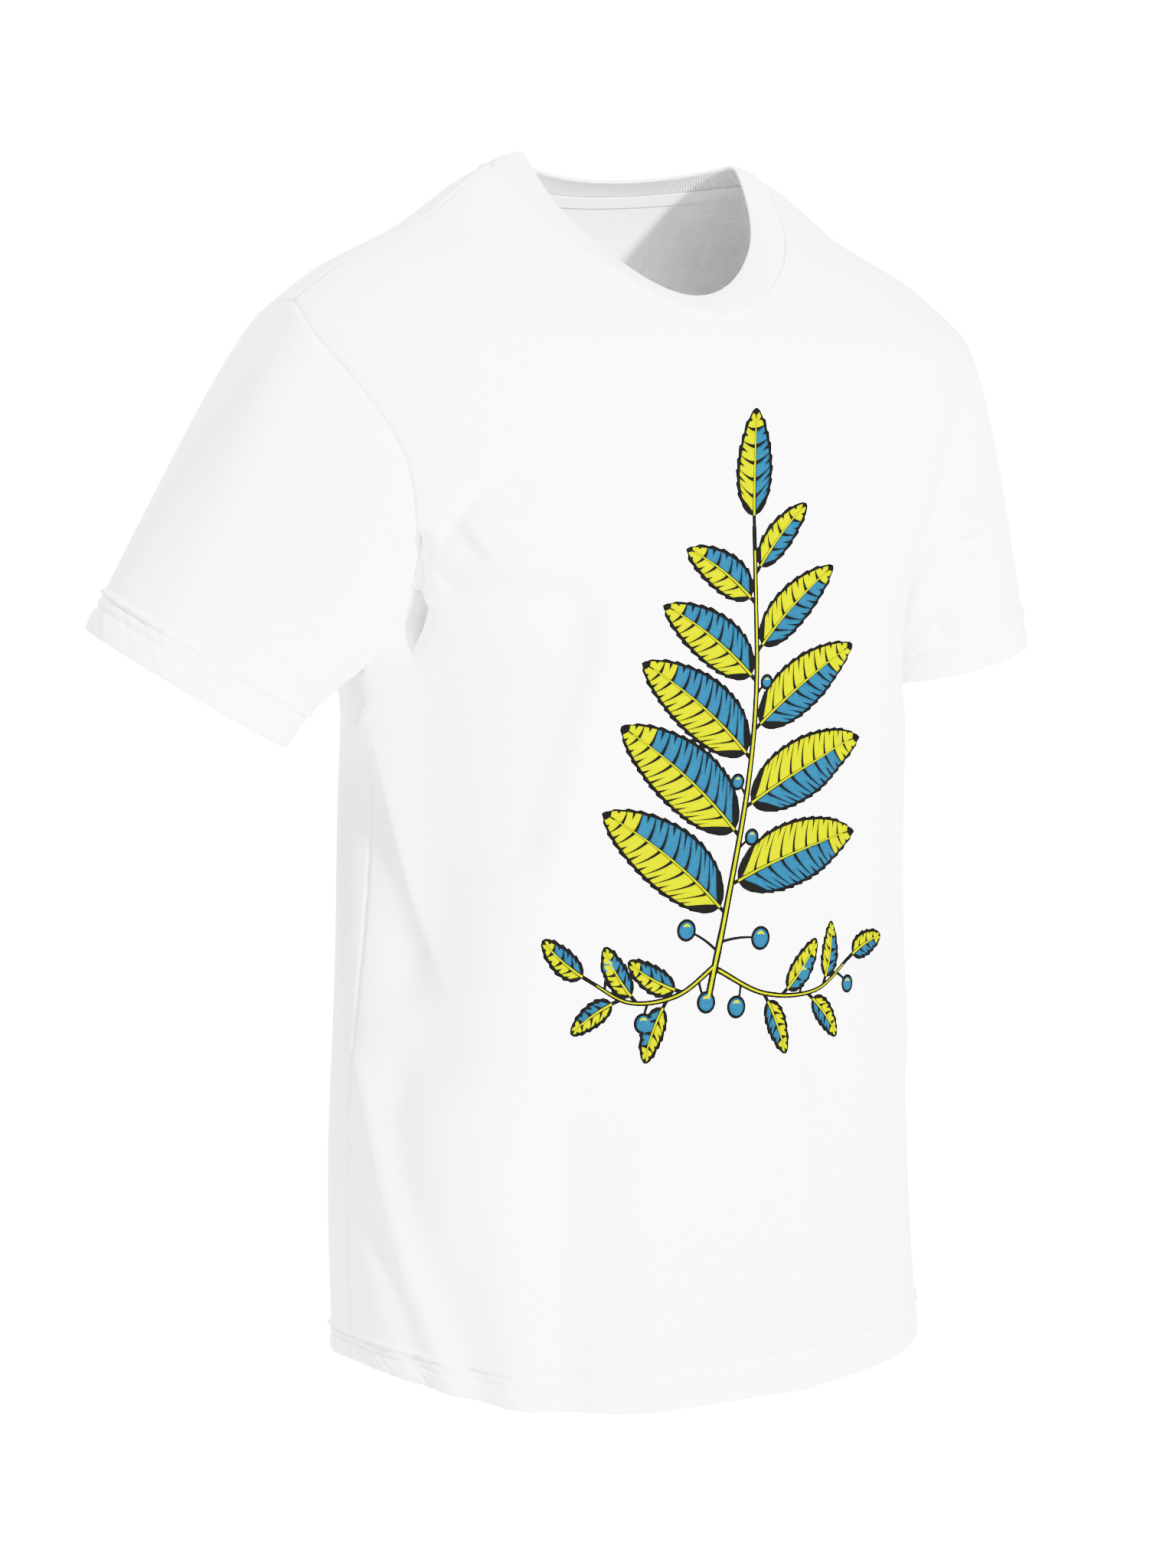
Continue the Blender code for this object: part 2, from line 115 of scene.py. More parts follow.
# Height of a fold at x half widths from its line: a round ridge or hollow, a narrow crease,
# cloth that lifts on one side only, and cloth that lifts on one side and sinks on the other
FOLD_FORMS = {
    "soft": lambda x, turned: np.exp(-x**2),
    "crisp": lambda x, turned: np.exp(0.22 - np.sqrt(x**2 + 0.05)) * np.exp(-(x / 4)**2),
    "edge": lambda x, turned: np.minimum(turned, 0) * x * np.exp(-(x / 2.2)**2),
    "step": lambda x, turned: turned * np.tanh(x * 1.6) * np.exp(-(x / 2.4)**2),
}
# Folds end below the shoulders, and near the hem they move the cloth only sideways
FOLDS_TOP = 0.60
FOLDS_TOP_FADE = 0.05
LEVEL_FADE = 0.05
# A small step in metres and in radians, over which slopes are taken
SMALL = 0.002
# The neck seam is looked for from here up, by halving
NECK_LOWEST = 0.56
HALVINGS = 40


def hermite(t, start, leave, end, arrive):
    """A smooth way from start to end that leaves and arrives at given slopes."""
    first = start * (2 * t**3 - 3 * t**2 + 1) + leave * (t**3 - 2 * t**2 + t)
    return first + end * (-2 * t**3 + 3 * t**2) + arrive * (t**3 - t**2)


def station(height, column):
    """A width or depth of the body at any height, on a smooth curve through the rows of BODY."""
    heights = np.array([row[0] for row in BODY])
    values = np.array([row[column] for row in BODY])
    steps = np.diff(values) / np.diff(heights)
    slopes = np.zeros(len(values))
    for i in range(1, len(values) - 1):
        if steps[i - 1] * steps[i] > 0:
            before = heights[i] - heights[i - 1]
            after = heights[i + 1] - heights[i]
            w1 = 2 * after + before
            w2 = after + 2 * before
            slopes[i] = (w1 + w2) / (w1 / steps[i - 1] + w2 / steps[i])
    slopes[0] = steps[0]
    slopes[-1] = steps[-1]
    h = np.clip(height, heights[0], heights[-1])
    k = np.clip(np.searchsorted(heights, h, side="right") - 1, 0, len(heights) - 2)
    width = heights[k + 1] - heights[k]
    t = (h - heights[k]) / width
    return hermite(t, values[k], slopes[k] * width, values[k + 1], slopes[k + 1] * width)


def ring(angle, height, rises=SIDE_RISES):
    """A point of the plain body. Angle 0 is the front centre and grows towards the wearer's left."""
    angle, height = np.broadcast_arrays(np.asarray(angle, float), np.asarray(height, float))
    s = np.sin(angle)
    c = np.cos(angle)
    depth = np.where(c > 0, station(height, 2), station(height, 3))
    x = station(height, 1) * np.sign(s) * np.abs(s)**(2 / ROUNDNESS)
    y = -depth * np.sign(c) * np.abs(c)**(2 / ROUNDNESS)
    rise = np.where(x < 0, *rises) * (np.abs(x) / BODY[0][1])**4 * np.clip(1 - height / RISE_FADES, 0, 1)**2
    return np.stack([x, y, height + rise], -1)


def unit(v):
    return v / np.maximum(np.linalg.norm(v, axis=-1, keepdims=True), 1e-9)


def smooth(t):
    t = np.clip(t, 0, 1)
    return t * t * (3 - 2 * t)


def hump(distance, spread):
    """A round hump of height one, which has faded out at about twice its spread."""
    return np.exp(-(distance / spread)**2)


def line_lengths(points):
    """Distance along a line of points, from its start."""
    return np.concatenate([[0], np.cumsum(np.linalg.norm(np.diff(points, axis=0), axis=1))])


def edge_distances(points):
    """Distance of each grid point from the first and the last line of the grid."""
    steps = np.linalg.norm(np.diff(points, axis=0), axis=-1)
    first = np.concatenate([np.zeros((1, points.shape[1])), np.cumsum(steps, 0)])
    return first, first[-1] - first


def read_line(places, run, values):
    """A line's points or directions at places along its run."""
    return np.stack([np.interp(places, run, values[:, k]) for k in range(values.shape[1])], -1)


def curve_through(stops, count):
    """Evenly numbered points on a smooth curve through the stops."""
    stops = np.asarray(stops, float)
    ends = np.concatenate([[2 * stops[0] - stops[1]], stops, [2 * stops[-1] - stops[-2]]])
    t = np.linspace(0, len(stops) - 1 - 1e-9, count)
    k = t.astype(int)
    f = (t - k)[:, None]
    a, b, c, d = ends[k], ends[k + 1], ends[k + 2], ends[k + 3]
    return b + 0.5 * f * (c - a + f * (2 * a - 5 * b + 4 * c - d + f * (3 * (b - c) + d - a)))


def folds_push(points, outward, folds):
    """How far the folds lift each point of the cloth, in metres."""
    flat = points.reshape(-1, 3)
    out = outward.reshape(-1, 3)
    push = np.zeros(len(flat))
    for kind, path, spread, size in folds:
        reach = spread * FOLD_REACH * (1 if kind == "soft" else WIDE_REACH)
        near = np.all((flat > path.min(0) - reach) & (flat < path.max(0) + reach), axis=1)
        if not near.any():
            continue
        p = flat[near]
        gap = np.full(len(p), 9.0)
        share = np.zeros(len(p))
        turned = np.zeros(len(p))
        lengths = np.linalg.norm(np.diff(path, axis=0), axis=1)
        done = line_lengths(path)
        for i, (a, b) in enumerate(zip(path[:-1], path[1:])):
            t = np.clip(((p - a) @ (b - a)) / lengths[i]**2, 0, 1)
            away = p - a - t[:, None] * (b - a)
            distance = np.linalg.norm(away, axis=1)
            closer = distance < gap
            gap = np.where(closer, distance, gap)
            share = np.where(closer, (done[i] + t * lengths[i]) / done[-1], share)
            side = np.sign(np.einsum("ij,ij->i", np.cross(b - a, away), out[near]))
            turned = np.where(closer, side, turned)
        form = FOLD_FORMS[kind](gap / spread, turned)
        ends = smooth(share / FOLD_FADE) * smooth((1 - share) / FOLD_FADE)
        push[near] += size * form * ends
    return push.reshape(points.shape[:-1])


def fold_paths(folds, surface):
    """The folds with their stops turned into smooth lines on a surface."""
    made = []
    for kind, stops, spread, size in folds:
        line = curve_through(stops, FOLD_STEPS)
        made.append((kind, surface(np.radians(line[:, 0]), line[:, 1]), spread, size))
    return made


BODY_PATHS = fold_paths(BODY_FOLDS, ring)


def body(angle, height):
    """A point of the body's outer face, with its folds."""
    flat = ring(angle, height)
    across = ring(angle + SMALL, height) - ring(angle - SMALL, height)
    top = np.minimum(height + SMALL, BODY[-1][0])
    up = ring(angle, top) - ring(angle, top - 2 * SMALL)
    out = unit(np.cross(across, up))
    out[..., 2] = out[..., 2] * np.clip(height / LEVEL_FADE, 0, 1)
    push = folds_push(flat, out, BODY_PATHS) * smooth((FOLDS_TOP - height) / FOLDS_TOP_FADE)
    return flat + out * push[..., None]


def body_normal(angle, height):
    e = 2 * SMALL
    across = body(angle + e, height) - body(angle - e, height)
    top = np.minimum(height + e, BODY[-1][0])
    low = np.maximum(height - e, 0)
    out = np.cross(across, body(angle, top) - body(angle, low))
    out[..., 2] = out[..., 2] * np.clip(height / LEVEL_FADE, 0, 1)
    return unit(out)


def neck_height(angle):
    """The height at which the neck seam crosses a compass angle."""
    angle = np.asarray(angle, float)
    low = np.full(angle.shape, NECK_LOWEST)
    high = np.full(angle.shape, BODY[-1][0])
    for _ in range(HALVINGS):
        mid = (low + high) / 2
        q = ring(angle, mid)
        depth = np.where(q[..., 1] < 0, NECK_FRONT, NECK_BACK)
        reach = (q[..., 0] / NECK_HALF_WIDTH)**2 + (q[..., 1] / depth)**2
        low = np.where(reach > 1, mid, low)
        high = np.where(reach > 1, high, mid)
    return (low + high) / 2


def armhole(turn, side):
    """Compass angle and height of the armhole seam, at a turn round it from the shoulder."""
    middle = (SHOULDER_HEIGHT + ARMPIT_HEIGHT) / 2
    half = (SHOULDER_HEIGHT - ARMPIT_HEIGHT) / 2
    s = np.sin(turn)
    cut = np.radians(np.where(s > 0, ARMHOLE_FRONT, ARMHOLE_BACK))
    return side * (HALF_PI - cut * s), middle + half * np.cos(turn)


# Widths measured round the body from the middle of a panel, as on the cutting table. The hem's
# uneven rise is left out of them, so that the two panels agree all along a side seam
TABLE_REACH = math.radians(112)
TABLE_HEIGHTS = np.linspace(0, BODY[-1][0], 181)
TABLE_ANGLES = np.linspace(-TABLE_REACH, TABLE_REACH, 337)


def width_table(middle):
    angles, heights = np.meshgrid(TABLE_ANGLES, TABLE_HEIGHTS, indexing="ij")
    length = edge_distances(ring(middle + angles, heights, (0, 0)))[0]
    return (length - length[len(TABLE_ANGLES) // 2]).T


WIDTHS = {0: width_table(0.0), 1: width_table(math.pi)}


def table_row(half, height):
    k = min(max(int(height / TABLE_HEIGHTS[1]), 0), len(TABLE_HEIGHTS) - 2)
    f = height / TABLE_HEIGHTS[1] - k
    return WIDTHS[half][k] * (1 - f) + WIDTHS[half][k + 1] * f


def unroll(half, angles, heights):
    widths = [np.interp(a, TABLE_ANGLES, table_row(half, h)) for a, h in zip(angles, heights)]
    return np.stack([np.array(widths), heights], -1)


def roll_up(half, flat):
    """The angles of points given by width and height on the cutting table."""
    points = flat.reshape(-1, 2)
    angles = [np.interp(w, table_row(half, h), TABLE_ANGLES) for w, h in points]
    return np.array(angles).reshape(flat.shape[:-1])


def spaced(length, close_at, fine=0.0007, coarse=0.0032, growth=0.22, count=None):
    """Distances along a line, close together near some places and wider elsewhere."""
    x = np.linspace(0, length, 3001)
    gap = np.full(x.shape, coarse)
    for place in close_at:
        gap = np.minimum(gap, fine + growth * np.abs(x - place))
    number = np.concatenate([[0], np.cumsum(1 / gap[1:] + 1 / gap[:-1]) * x[1] / 2])
    count = count or round(number[-1])
    return np.interp(np.linspace(0, number[-1], count + 1), number, x)


# The turned up hem: two rows of twin needle stitching, with the cloth full between them and
# a soft ridge above. HEM_FOLD is the radius of the fold at its foot
HEM_FOLD = 0.00095
HEM_ROWS = (0.0140, 0.0200)
HEM_TURN = 0.0210
HEM_TOP = 0.0270
HEM_BELLY = 0.0009
ROW_BELLY = 0.0004
ROW_GROOVE = 0.0007
RIDGE = 0.0021
RIDGE_ABOVE = 0.0022
RIDGE_SPREAD = 0.0015
RIDGE_PITCH = 0.017
RIDGE_UNEVEN = 0.45
ROPING = 0.0006
ROPING_PITCH = 0.0125
ROPING_SLANT = 0.9
ROPING_BEGIN = 0.003
ROPING_END = 0.004
# share of the height and pitch of each wave in an uneven seam
WANDER_WAVES = ((0.45, 0.62), (0.3, 1.0), (0.25, 1.73))


def wander(s, length, seed):
    """A smooth uneven wave along a seam, between about -1 and 1."""
    made = 0
    for k, (share, pitch) in enumerate(WANDER_WAVES):
        made = made + share * np.sin(2 * math.pi * s / (length * pitch) + seed * (1.7 + 2.3 * k))
    return made


def hem_form(d, s, seed):
    """How far the hem stands out at distance d from its edge and s along it."""
    first, second = HEM_ROWS
    belly = HEM_BELLY * np.sin(math.pi * np.clip(d / first, 0, 1))**0.8
    middle = ROW_BELLY * np.sin(math.pi * np.clip((d - first) / (second - first), 0, 1))
    grooves = sum(-ROW_GROOVE * hump(d - row, ROW_GROOVE) for row in HEM_ROWS)
    ridge = RIDGE * hump(d - second - RIDGE_ABOVE, RIDGE_SPREAD)
    ridge = ridge * (1 + RIDGE_UNEVEN * wander(s, RIDGE_PITCH, seed))
    band = np.clip(d / ROPING_BEGIN, 0, 1) * np.clip((second + ROPING_BEGIN - d) / ROPING_END, 0, 1)
    roping = ROPING * band * wander(s + ROPING_SLANT * d, ROPING_PITCH, seed + 1)
    return belly + middle + grooves + ridge + roping


# A seam: the edges roll in, and the cloth puckers a little beside the stitches, in short and
# long waves given by their height and pitch
SEAM_DEPTH = 0.0011
SEAM_SPREAD = 0.0013
PUCKER_BEGIN = 0.001
PUCKER_REACH = 0.005
PUCKER_SHORT = (0.00035, 0.011)
PUCKER_LONG = (0.0003, 0.034)
# How far from the armhole seam its edges turn into each other, and how far they tilt
MITRE_SPREAD = 0.003
MITRE_TILT = 0.55
# The ridge of the neck seam and its dip, and the ridge of the shoulder seam: height, place, spread
NECK_RIDGE = (0.0015, 0.0028, 0.0013)
NECK_DIP = (0.0012, 0.0009)
SHOULDER_RIDGE = (0.0004, 0.0030, 0.0018)
SHOULDER_DIP = 0.6


def seam_dip(d):
    return -SEAM_DEPTH * hump(d, SEAM_SPREAD)


def seam_puckers(d, s, seed):
    near = np.exp(-d / PUCKER_REACH) * np.clip(d / PUCKER_BEGIN, 0, 1)
    short = PUCKER_SHORT[0] * wander(s, PUCKER_SHORT[1], seed)
    return near * (short + PUCKER_LONG[0] * wander(s, PUCKER_LONG[1], seed + 2))


def grid_normals(points, closed):
    if closed:
        across = np.roll(points, -1, 0) - np.roll(points, 1, 0)
    else:
        across = np.gradient(points, axis=0)
    return unit(np.cross(across, np.gradient(points, axis=1)))


def turn_up(points, normals, rows):
    """Carries a grid that starts just above its hem round the fold and up inside."""
    edge = points[:, 0]
    out = normals[:, 0]
    down = unit(points[:, 0] - points[:, 2])
    inside = points[:, 1:rows] - normals[:, 1:rows] * 2 * HEM_FOLD
    parts = [inside[:, ::-1]]
    for turn in np.linspace(math.pi, 0, 7)[:-1]:
        step = out * (math.cos(turn) - 1) + down * math.sin(turn)
        parts.append((edge + step * HEM_FOLD)[:, None])
    parts.append(points)
    return np.concatenate(parts, 1)


def piece(name, vertices, faces, look, pattern=None):
    """A piece of the shirt in its place and finish, with the cutting pattern as its UV."""
    mesh = bpy.data.meshes.new(name)
    if pattern is None:
        mesh.from_pydata(vertices, [], faces)
    else:
        mesh.from_pydata(vertices, [], faces.tolist())
        layer = mesh.uv_layers.new(name="pattern")
        layer.data.foreach_set("uv", pattern[faces.ravel()].ravel())
    mesh.update()
    mesh.shade_smooth()
    made = bpy.data.objects.new(mesh.name, mesh)
    made.location = -MIDDLE
    made.data.materials.append(look)
    bpy.context.scene.collection.objects.link(made)
    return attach(made, "root")


def cloth(name, points, thick, pattern, look, closed=False, outward=1):
    """A closed sheet from a grid of points on its right side."""
    rows, columns = points.shape[:2]
    normals = grid_normals(points, closed) * outward
    inner = points - normals * thick
    vertices = np.concatenate([points.reshape(-1, 3), inner.reshape(-1, 3)])
    step = rows * columns
    index = np.arange(step).reshape(rows, columns)
    after = np.roll(index, -1, 0) if closed else index[1:]
    here = index if closed else index[:-1]
    a, b, c, d = here[:, :-1], after[:, :-1], after[:, 1:], here[:, 1:]
    front = np.stack([a, b, c, d], -1).reshape(-1, 4)
    faces = [front, front[:, ::-1] + step]
    faces.append(np.stack([here[:, 0], here[:, 0] + step, after[:, 0] + step, after[:, 0]], -1))
    faces.append(np.stack([after[:, -1], after[:, -1] + step, here[:, -1] + step, here[:, -1]], -1))
    if not closed:
        low, high = index[0], index[-1]
        faces.append(np.stack([low[1:], low[1:] + step, low[:-1] + step, low[:-1]], -1))
        faces.append(np.stack([high[:-1], high[:-1] + step, high[1:] + step, high[1:]], -1))
    faces = np.concatenate(faces)
    if outward < 0:
        faces = faces[:, ::-1]
    return piece(name, vertices, faces, look, np.concatenate([pattern.reshape(-1, 2)] * 2))


def math_node(nodes, links, kind, *values):
    """One step of shader arithmetic, on numbers or on other nodes' outputs."""
    made = nodes.new("ShaderNodeMath")
    made.operation = kind
    for slot, value in zip(made.inputs, values):
        if isinstance(value, (int, float)):
            slot.default_value = value
        else:
            links.new(value, slot)
    return made.outputs[0]


def knit_group():
    """Plain knit in millimetres: rows of small V stitches, slubs along them, and loose fibre."""
    group = bpy.data.node_groups.new("plain_knit", "ShaderNodeTree")
    group.interface.new_socket("Pattern", in_out="INPUT", socket_type="NodeSocketVector")
    for name, value in (("Wale", 0.85), ("Course", 0.62)):
        socket = group.interface.new_socket(name, in_out="INPUT", socket_type="NodeSocketFloat")
        socket.default_value = value
    group.interface.new_socket("Height", in_out="OUTPUT", socket_type="NodeSocketFloat")
    group.interface.new_socket("Tone", in_out="OUTPUT", socket_type="NodeSocketFloat")
    nodes, links = group.nodes, group.links
    given = nodes.new("NodeGroupInput")
    result = nodes.new("NodeGroupOutput")
    scale = nodes.new("ShaderNodeVectorMath")
    scale.operation = "SCALE"
    scale.inputs["Scale"].default_value = 1000
    links.new(given.outputs["Pattern"], scale.inputs[0])
    split = nodes.new("ShaderNodeSeparateXYZ")
    links.new(scale.outputs[0], split.inputs[0])

    def step(kind, *values):
        return math_node(nodes, links, kind, *values)

    def noise(place, scale, detail):
        made = nodes.new("ShaderNodeTexNoise")
        made.inputs["Scale"].default_value = scale
        made.inputs["Detail"].default_value = detail
        links.new(place, made.inputs["Vector"])
        return made.outputs[0]

    wale = step("FRACT", step("DIVIDE", split.outputs["X"], given.outputs["Wale"]))
    arm = step("ABSOLUTE", step("SUBTRACT", wale, 0.5))
    course = step("ADD", step("DIVIDE", split.outputs["Y"], given.outputs["Course"]), arm)
    loop = step("MULTIPLY_ADD", step("COSINE", step("MULTIPLY", course, 2 * math.pi)), 0.35, 0.65)
    leg = step("SINE", step("MULTIPLY", arm, 2 * math.pi))
    stitch = step("MULTIPLY", loop, leg)
    slub_place = nodes.new("ShaderNodeVectorMath")
    slub_place.operation = "MULTIPLY"
    slub_place.inputs[1].default_value = (0.16, 0.8, 1)
    links.new(scale.outputs[0], slub_place.inputs[0])
    slub = noise(slub_place.outputs[0], 1.0, 3)
    fibre = noise(scale.outputs[0], 2.6, 4)
    cloud = noise(scale.outputs[0], 0.14, 3)
    loose = step("ADD", step("MULTIPLY", slub, 0.9), step("MULTIPLY", fibre, 0.7))
    links.new(step("ADD", step("MULTIPLY", stitch, 0.4), loose), result.inputs["Height"])
    tone = step("ADD", step("MULTIPLY", slub, 0.45), step("MULTIPLY", fibre, 0.3))
    links.new(step("ADD", tone, step("MULTIPLY", cloud, 0.25)), result.inputs["Tone"])
    return group


KNIT = knit_group()


def new_look(name, rough, specular):
    """A new finish, with its nodes, its links and its main shader."""
    look = bpy.data.materials.new(name)
    look.use_nodes = True
    nodes = look.node_tree.nodes
    shader = nodes["Principled BSDF"]
    shader.inputs["Roughness"].default_value = rough
    shader.inputs["Specular IOR Level"].default_value = specular
    return look, nodes, look.node_tree.links, shader


def pattern_place(nodes):
    """Places on the cutting pattern, in metres."""
    place = nodes.new("ShaderNodeUVMap")
    place.uv_map = "pattern"
    return place.outputs[0]


def colour_by(nodes, links, shader, tone, dark, light, low=0.0, high=1.0):
    """Colours a finish from dark to light as a tone grows from low to high."""
    ramp = nodes.new("ShaderNodeValToRGB")
    stops = ramp.color_ramp.elements
    for stop, position, colour in ((0, low, dark), (1, high, light)):
        stops[stop].position = position
        stops[stop].color = (*colour, 1)
    links.new(tone, ramp.inputs[0])
    links.new(ramp.outputs[0], shader.inputs["Base Color"])


def relief_by(nodes, links, shader, height, distance):
    relief = nodes.new("ShaderNodeBump")
    relief.inputs["Distance"].default_value = distance
    links.new(height, relief.inputs["Height"])
    links.new(relief.outputs[0], shader.inputs["Normal"])


def knit_look(name, light, dark, bump, wale=0.85, course=0.62, tones=(0.36, 0.62), rough=0.9,
              specular=0.2, sheen=0.12):
    """A finish whose colour and relief follow the knit; wale and course are its stitch in mm."""
    look, nodes, links, shader = new_look(name, rough, specular)
    shader.inputs["Sheen Weight"].default_value = sheen
    shader.inputs["Sheen Roughness"].default_value = 0.5
    knit = nodes.new("ShaderNodeGroup")
    knit.node_tree = KNIT
    knit.inputs["Wale"].default_value = wale
    knit.inputs["Course"].default_value = course
    links.new(pattern_place(nodes), knit.inputs["Pattern"])
    colour_by(nodes, links, shader, knit.outputs["Tone"], dark, light, *tones)
    relief_by(nodes, links, shader, knit.outputs["Height"], bump)
    return look


WHITE_JERSEY = knit_look("white_jersey", (0.905, 0.905, 0.907), (0.825, 0.825, 0.830), 0.00014)

SEAM_TURN = math.radians(SHOULDER_SEAM_ARM)
SHOULDER_CORNER = (math.radians(SHOULDER_SEAM_NECK), math.pi - math.radians(SHOULDER_SEAM_NECK))

# Counts of the coarse layout: up the side, up the armhole, half round the neck, along the shoulder,
# and how often its inner points are moved to the middle of their neighbours
SIDE_PARTS = 16
ARM_PARTS = 16
NECK_PARTS = 15
SHOULDER_PARTS = 6
EASING = 40


class Edge:
    """One edge of a panel: a line of points with its length, read at any share of that length."""

    def __init__(self, values, points):
        lengths = line_lengths(points)
        self.length = lengths[-1]
        self.shares = lengths / lengths[-1]
        self.values = values

    def at(self, share):
        return np.interp(share, self.shares, self.values)


ARM_EDGES = []
NECK_EDGES = []
for half in (0, 1):
    turns = np.linspace(math.pi if half == 0 else -math.pi, SEAM_TURN, 400)
    ARM_EDGES.append(Edge(turns, ring(*armhole(turns, 1))))
    angles = np.linspace(0, SHOULDER_CORNER[half], 400)
    true = abs(half * math.pi - angles)
    NECK_EDGES.append(Edge(angles, ring(true, neck_height(true))))


def side_edge(half, v):
    """Points up the side seam and then the armhole, on the cutting table."""
    share = np.clip((v - SIDE_PARTS) / ARM_PARTS, 0, 1)
    angle, height = armhole(ARM_EDGES[half].at(share), 1)
    angle = np.where(v < SIDE_PARTS, HALF_PI, abs(half * math.pi - angle))
    return unroll(half, angle, np.where(v < SIDE_PARTS, ARMPIT_HEIGHT * v / SIDE_PARTS, height))


def top_edge(half, u):
    """Points along half the neck and then the shoulder seam, on the cutting table."""
    angle = NECK_EDGES[half].at(np.clip(u / NECK_PARTS, 0, 1))
    height = neck_height(abs(half * math.pi - angle))
    arm_angle, arm_height = armhole(np.array([SEAM_TURN]), 1)
    share = np.clip((u - NECK_PARTS) / SHOULDER_PARTS, 0, 1)
    angle = angle + (abs(half * math.pi - arm_angle) - angle) * share
    return unroll(half, angle, height + (arm_height - height) * share)


def panel_edges(half, u, v):
    """The four edges of a panel: left, right, bottom and top."""
    mirror = np.array([-1, 1])
    right = side_edge(half, v)
    top = top_edge(half, np.abs(u)) * np.stack([np.where(u < 0, -1, 1), np.ones(len(u))], -1)
    reach = side_edge(half, np.zeros(1))[0, 0]
    bottom = np.stack([u / (NECK_PARTS + SHOULDER_PARTS) * reach, np.zeros(len(u))], -1)
    return right * mirror, right, bottom, top


def blend_edges(left, right, bottom, top, u, v):
    """Fills a grid between its four edges."""
    u = u[:, None, None]
    v = v[None, :, None]
    corners = (1 - u) * (1 - v) * bottom[0] + u * (1 - v) * bottom[-1]
    corners = corners + (1 - u) * v * top[0] + u * v * top[-1]
    return (1 - v) * bottom[:, None] + v * top[:, None] + (1 - u) * left[None] + u * right[None] - corners


def between(grid, u, v):
    """Reads a grid at places between its lines."""
    i = np.minimum(u.astype(int), grid.shape[0] - 2)
    j = np.minimum(v.astype(int), grid.shape[1] - 2)
    f = (u - i)[:, None, None]
    g = (v - j)[None, :, None]
    low = grid[i][:, j] * (1 - f) + grid[i + 1][:, j] * f
    return low * (1 - g) + (grid[i][:, j + 1] * (1 - f) + grid[i + 1][:, j + 1] * f) * g


def hem_lines(rows):
    """Distances of a grid's lines from the edge of a hem, close together at its stitching."""
    lines = spaced(HEM_TOP, rows, fine=0.0007, coarse=0.0012)
    return np.concatenate([[HEM_FOLD], lines[lines > HEM_FOLD * 1.5]])


ABOVE_HEM = spaced(ARMPIT_HEIGHT - HEM_TOP, (0,), fine=0.0012)[1:] + HEM_TOP
SIDE_HEIGHTS = np.concatenate([hem_lines(HEM_ROWS), ABOVE_HEM])
NECK_POINT_HEIGHT = 0.720
# A panel's lines are level up to a height above the hem, and ease into its other edges from there
LEVEL_LINES = 0.03
LEVEL_LINES_FADE = 0.09


def panel_grid(half):
    """A panel's grid on the cutting table: an even coarse layout, then the fine lines within it."""
    half_way = NECK_PARTS + SHOULDER_PARTS
    u = np.arange(-half_way, half_way + 1)
    v = np.arange(SIDE_PARTS + ARM_PARTS + 1)
    coarse = blend_edges(*panel_edges(half, u, v), np.linspace(0, 1, len(u)), np.linspace(0, 1, len(v)))
    for _ in range(EASING):
        inner = (coarse[2:, 1:-1] + coarse[:-2, 1:-1] + coarse[1:-1, 2:] + coarse[1:-1, :-2]) / 4
        coarse[1:-1, 1:-1] = inner
    arm = ARM_EDGES[half].length
    neck_run = NECK_EDGES[half].length
    neck_point = ring(abs(half * math.pi - SHOULDER_CORNER[half]), NECK_POINT_HEIGHT)
    shoulder = np.linalg.norm(neck_point - ring(*armhole(SEAM_TURN, 1)))
    v = np.concatenate([SIDE_HEIGHTS / ARMPIT_HEIGHT * SIDE_PARTS,
                        SIDE_PARTS + spaced(arm, (arm,), fine=0.0009)[1:] / arm * ARM_PARTS])
    neck_part = spaced(neck_run, (neck_run,), fine=0.0015) / neck_run * NECK_PARTS
    shoulder_part = spaced(shoulder, (0, shoulder), fine=0.0009)[1:] / shoulder * SHOULDER_PARTS
    u = np.concatenate([neck_part, NECK_PARTS + shoulder_part])
    u = np.concatenate([-u[:0:-1], u])
    v[-1] = SIDE_PARTS + ARM_PARTS
    flat = between(coarse, u + half_way, v)
    exact = panel_edges(half, u, v)
    spare = exact[0] - flat[0], exact[1] - flat[-1], exact[2] - flat[:, 0], exact[3] - flat[:, -1]
    spare[2][:, 1] = 0
    flat = flat + blend_edges(*spare, (u + half_way) / (2 * half_way), v / v[-1])
    level = side_edge(half, v)[None, :, 1]
    ease = smooth((level - LEVEL_LINES) / LEVEL_LINES_FADE)
    flat[..., 1] = level * (1 - ease) + flat[..., 1] * ease
    return flat, roll_up(half, flat) + half * math.pi, len(neck_part) - 1


PANELS = {}
# Below this height the hem's form stands out level
LEVEL_NORMALS = 0.03
# Where the side seam's puckers begin above the hem, and how soon the hem's form begins beside a seam
PUCKERS_FROM = 0.02
PUCKERS_FADE = 0.03
HEM_BESIDE_SEAM = 0.004


def arm_mitre(turn, side):
    """The way out of the cloth at the armhole seam, half way between the body's and the sleeve's."""
    angle, height = armhole(turn, side)
    return unit(body_normal(angle, height) + np.array([side * MITRE_TILT, 0, 0]))


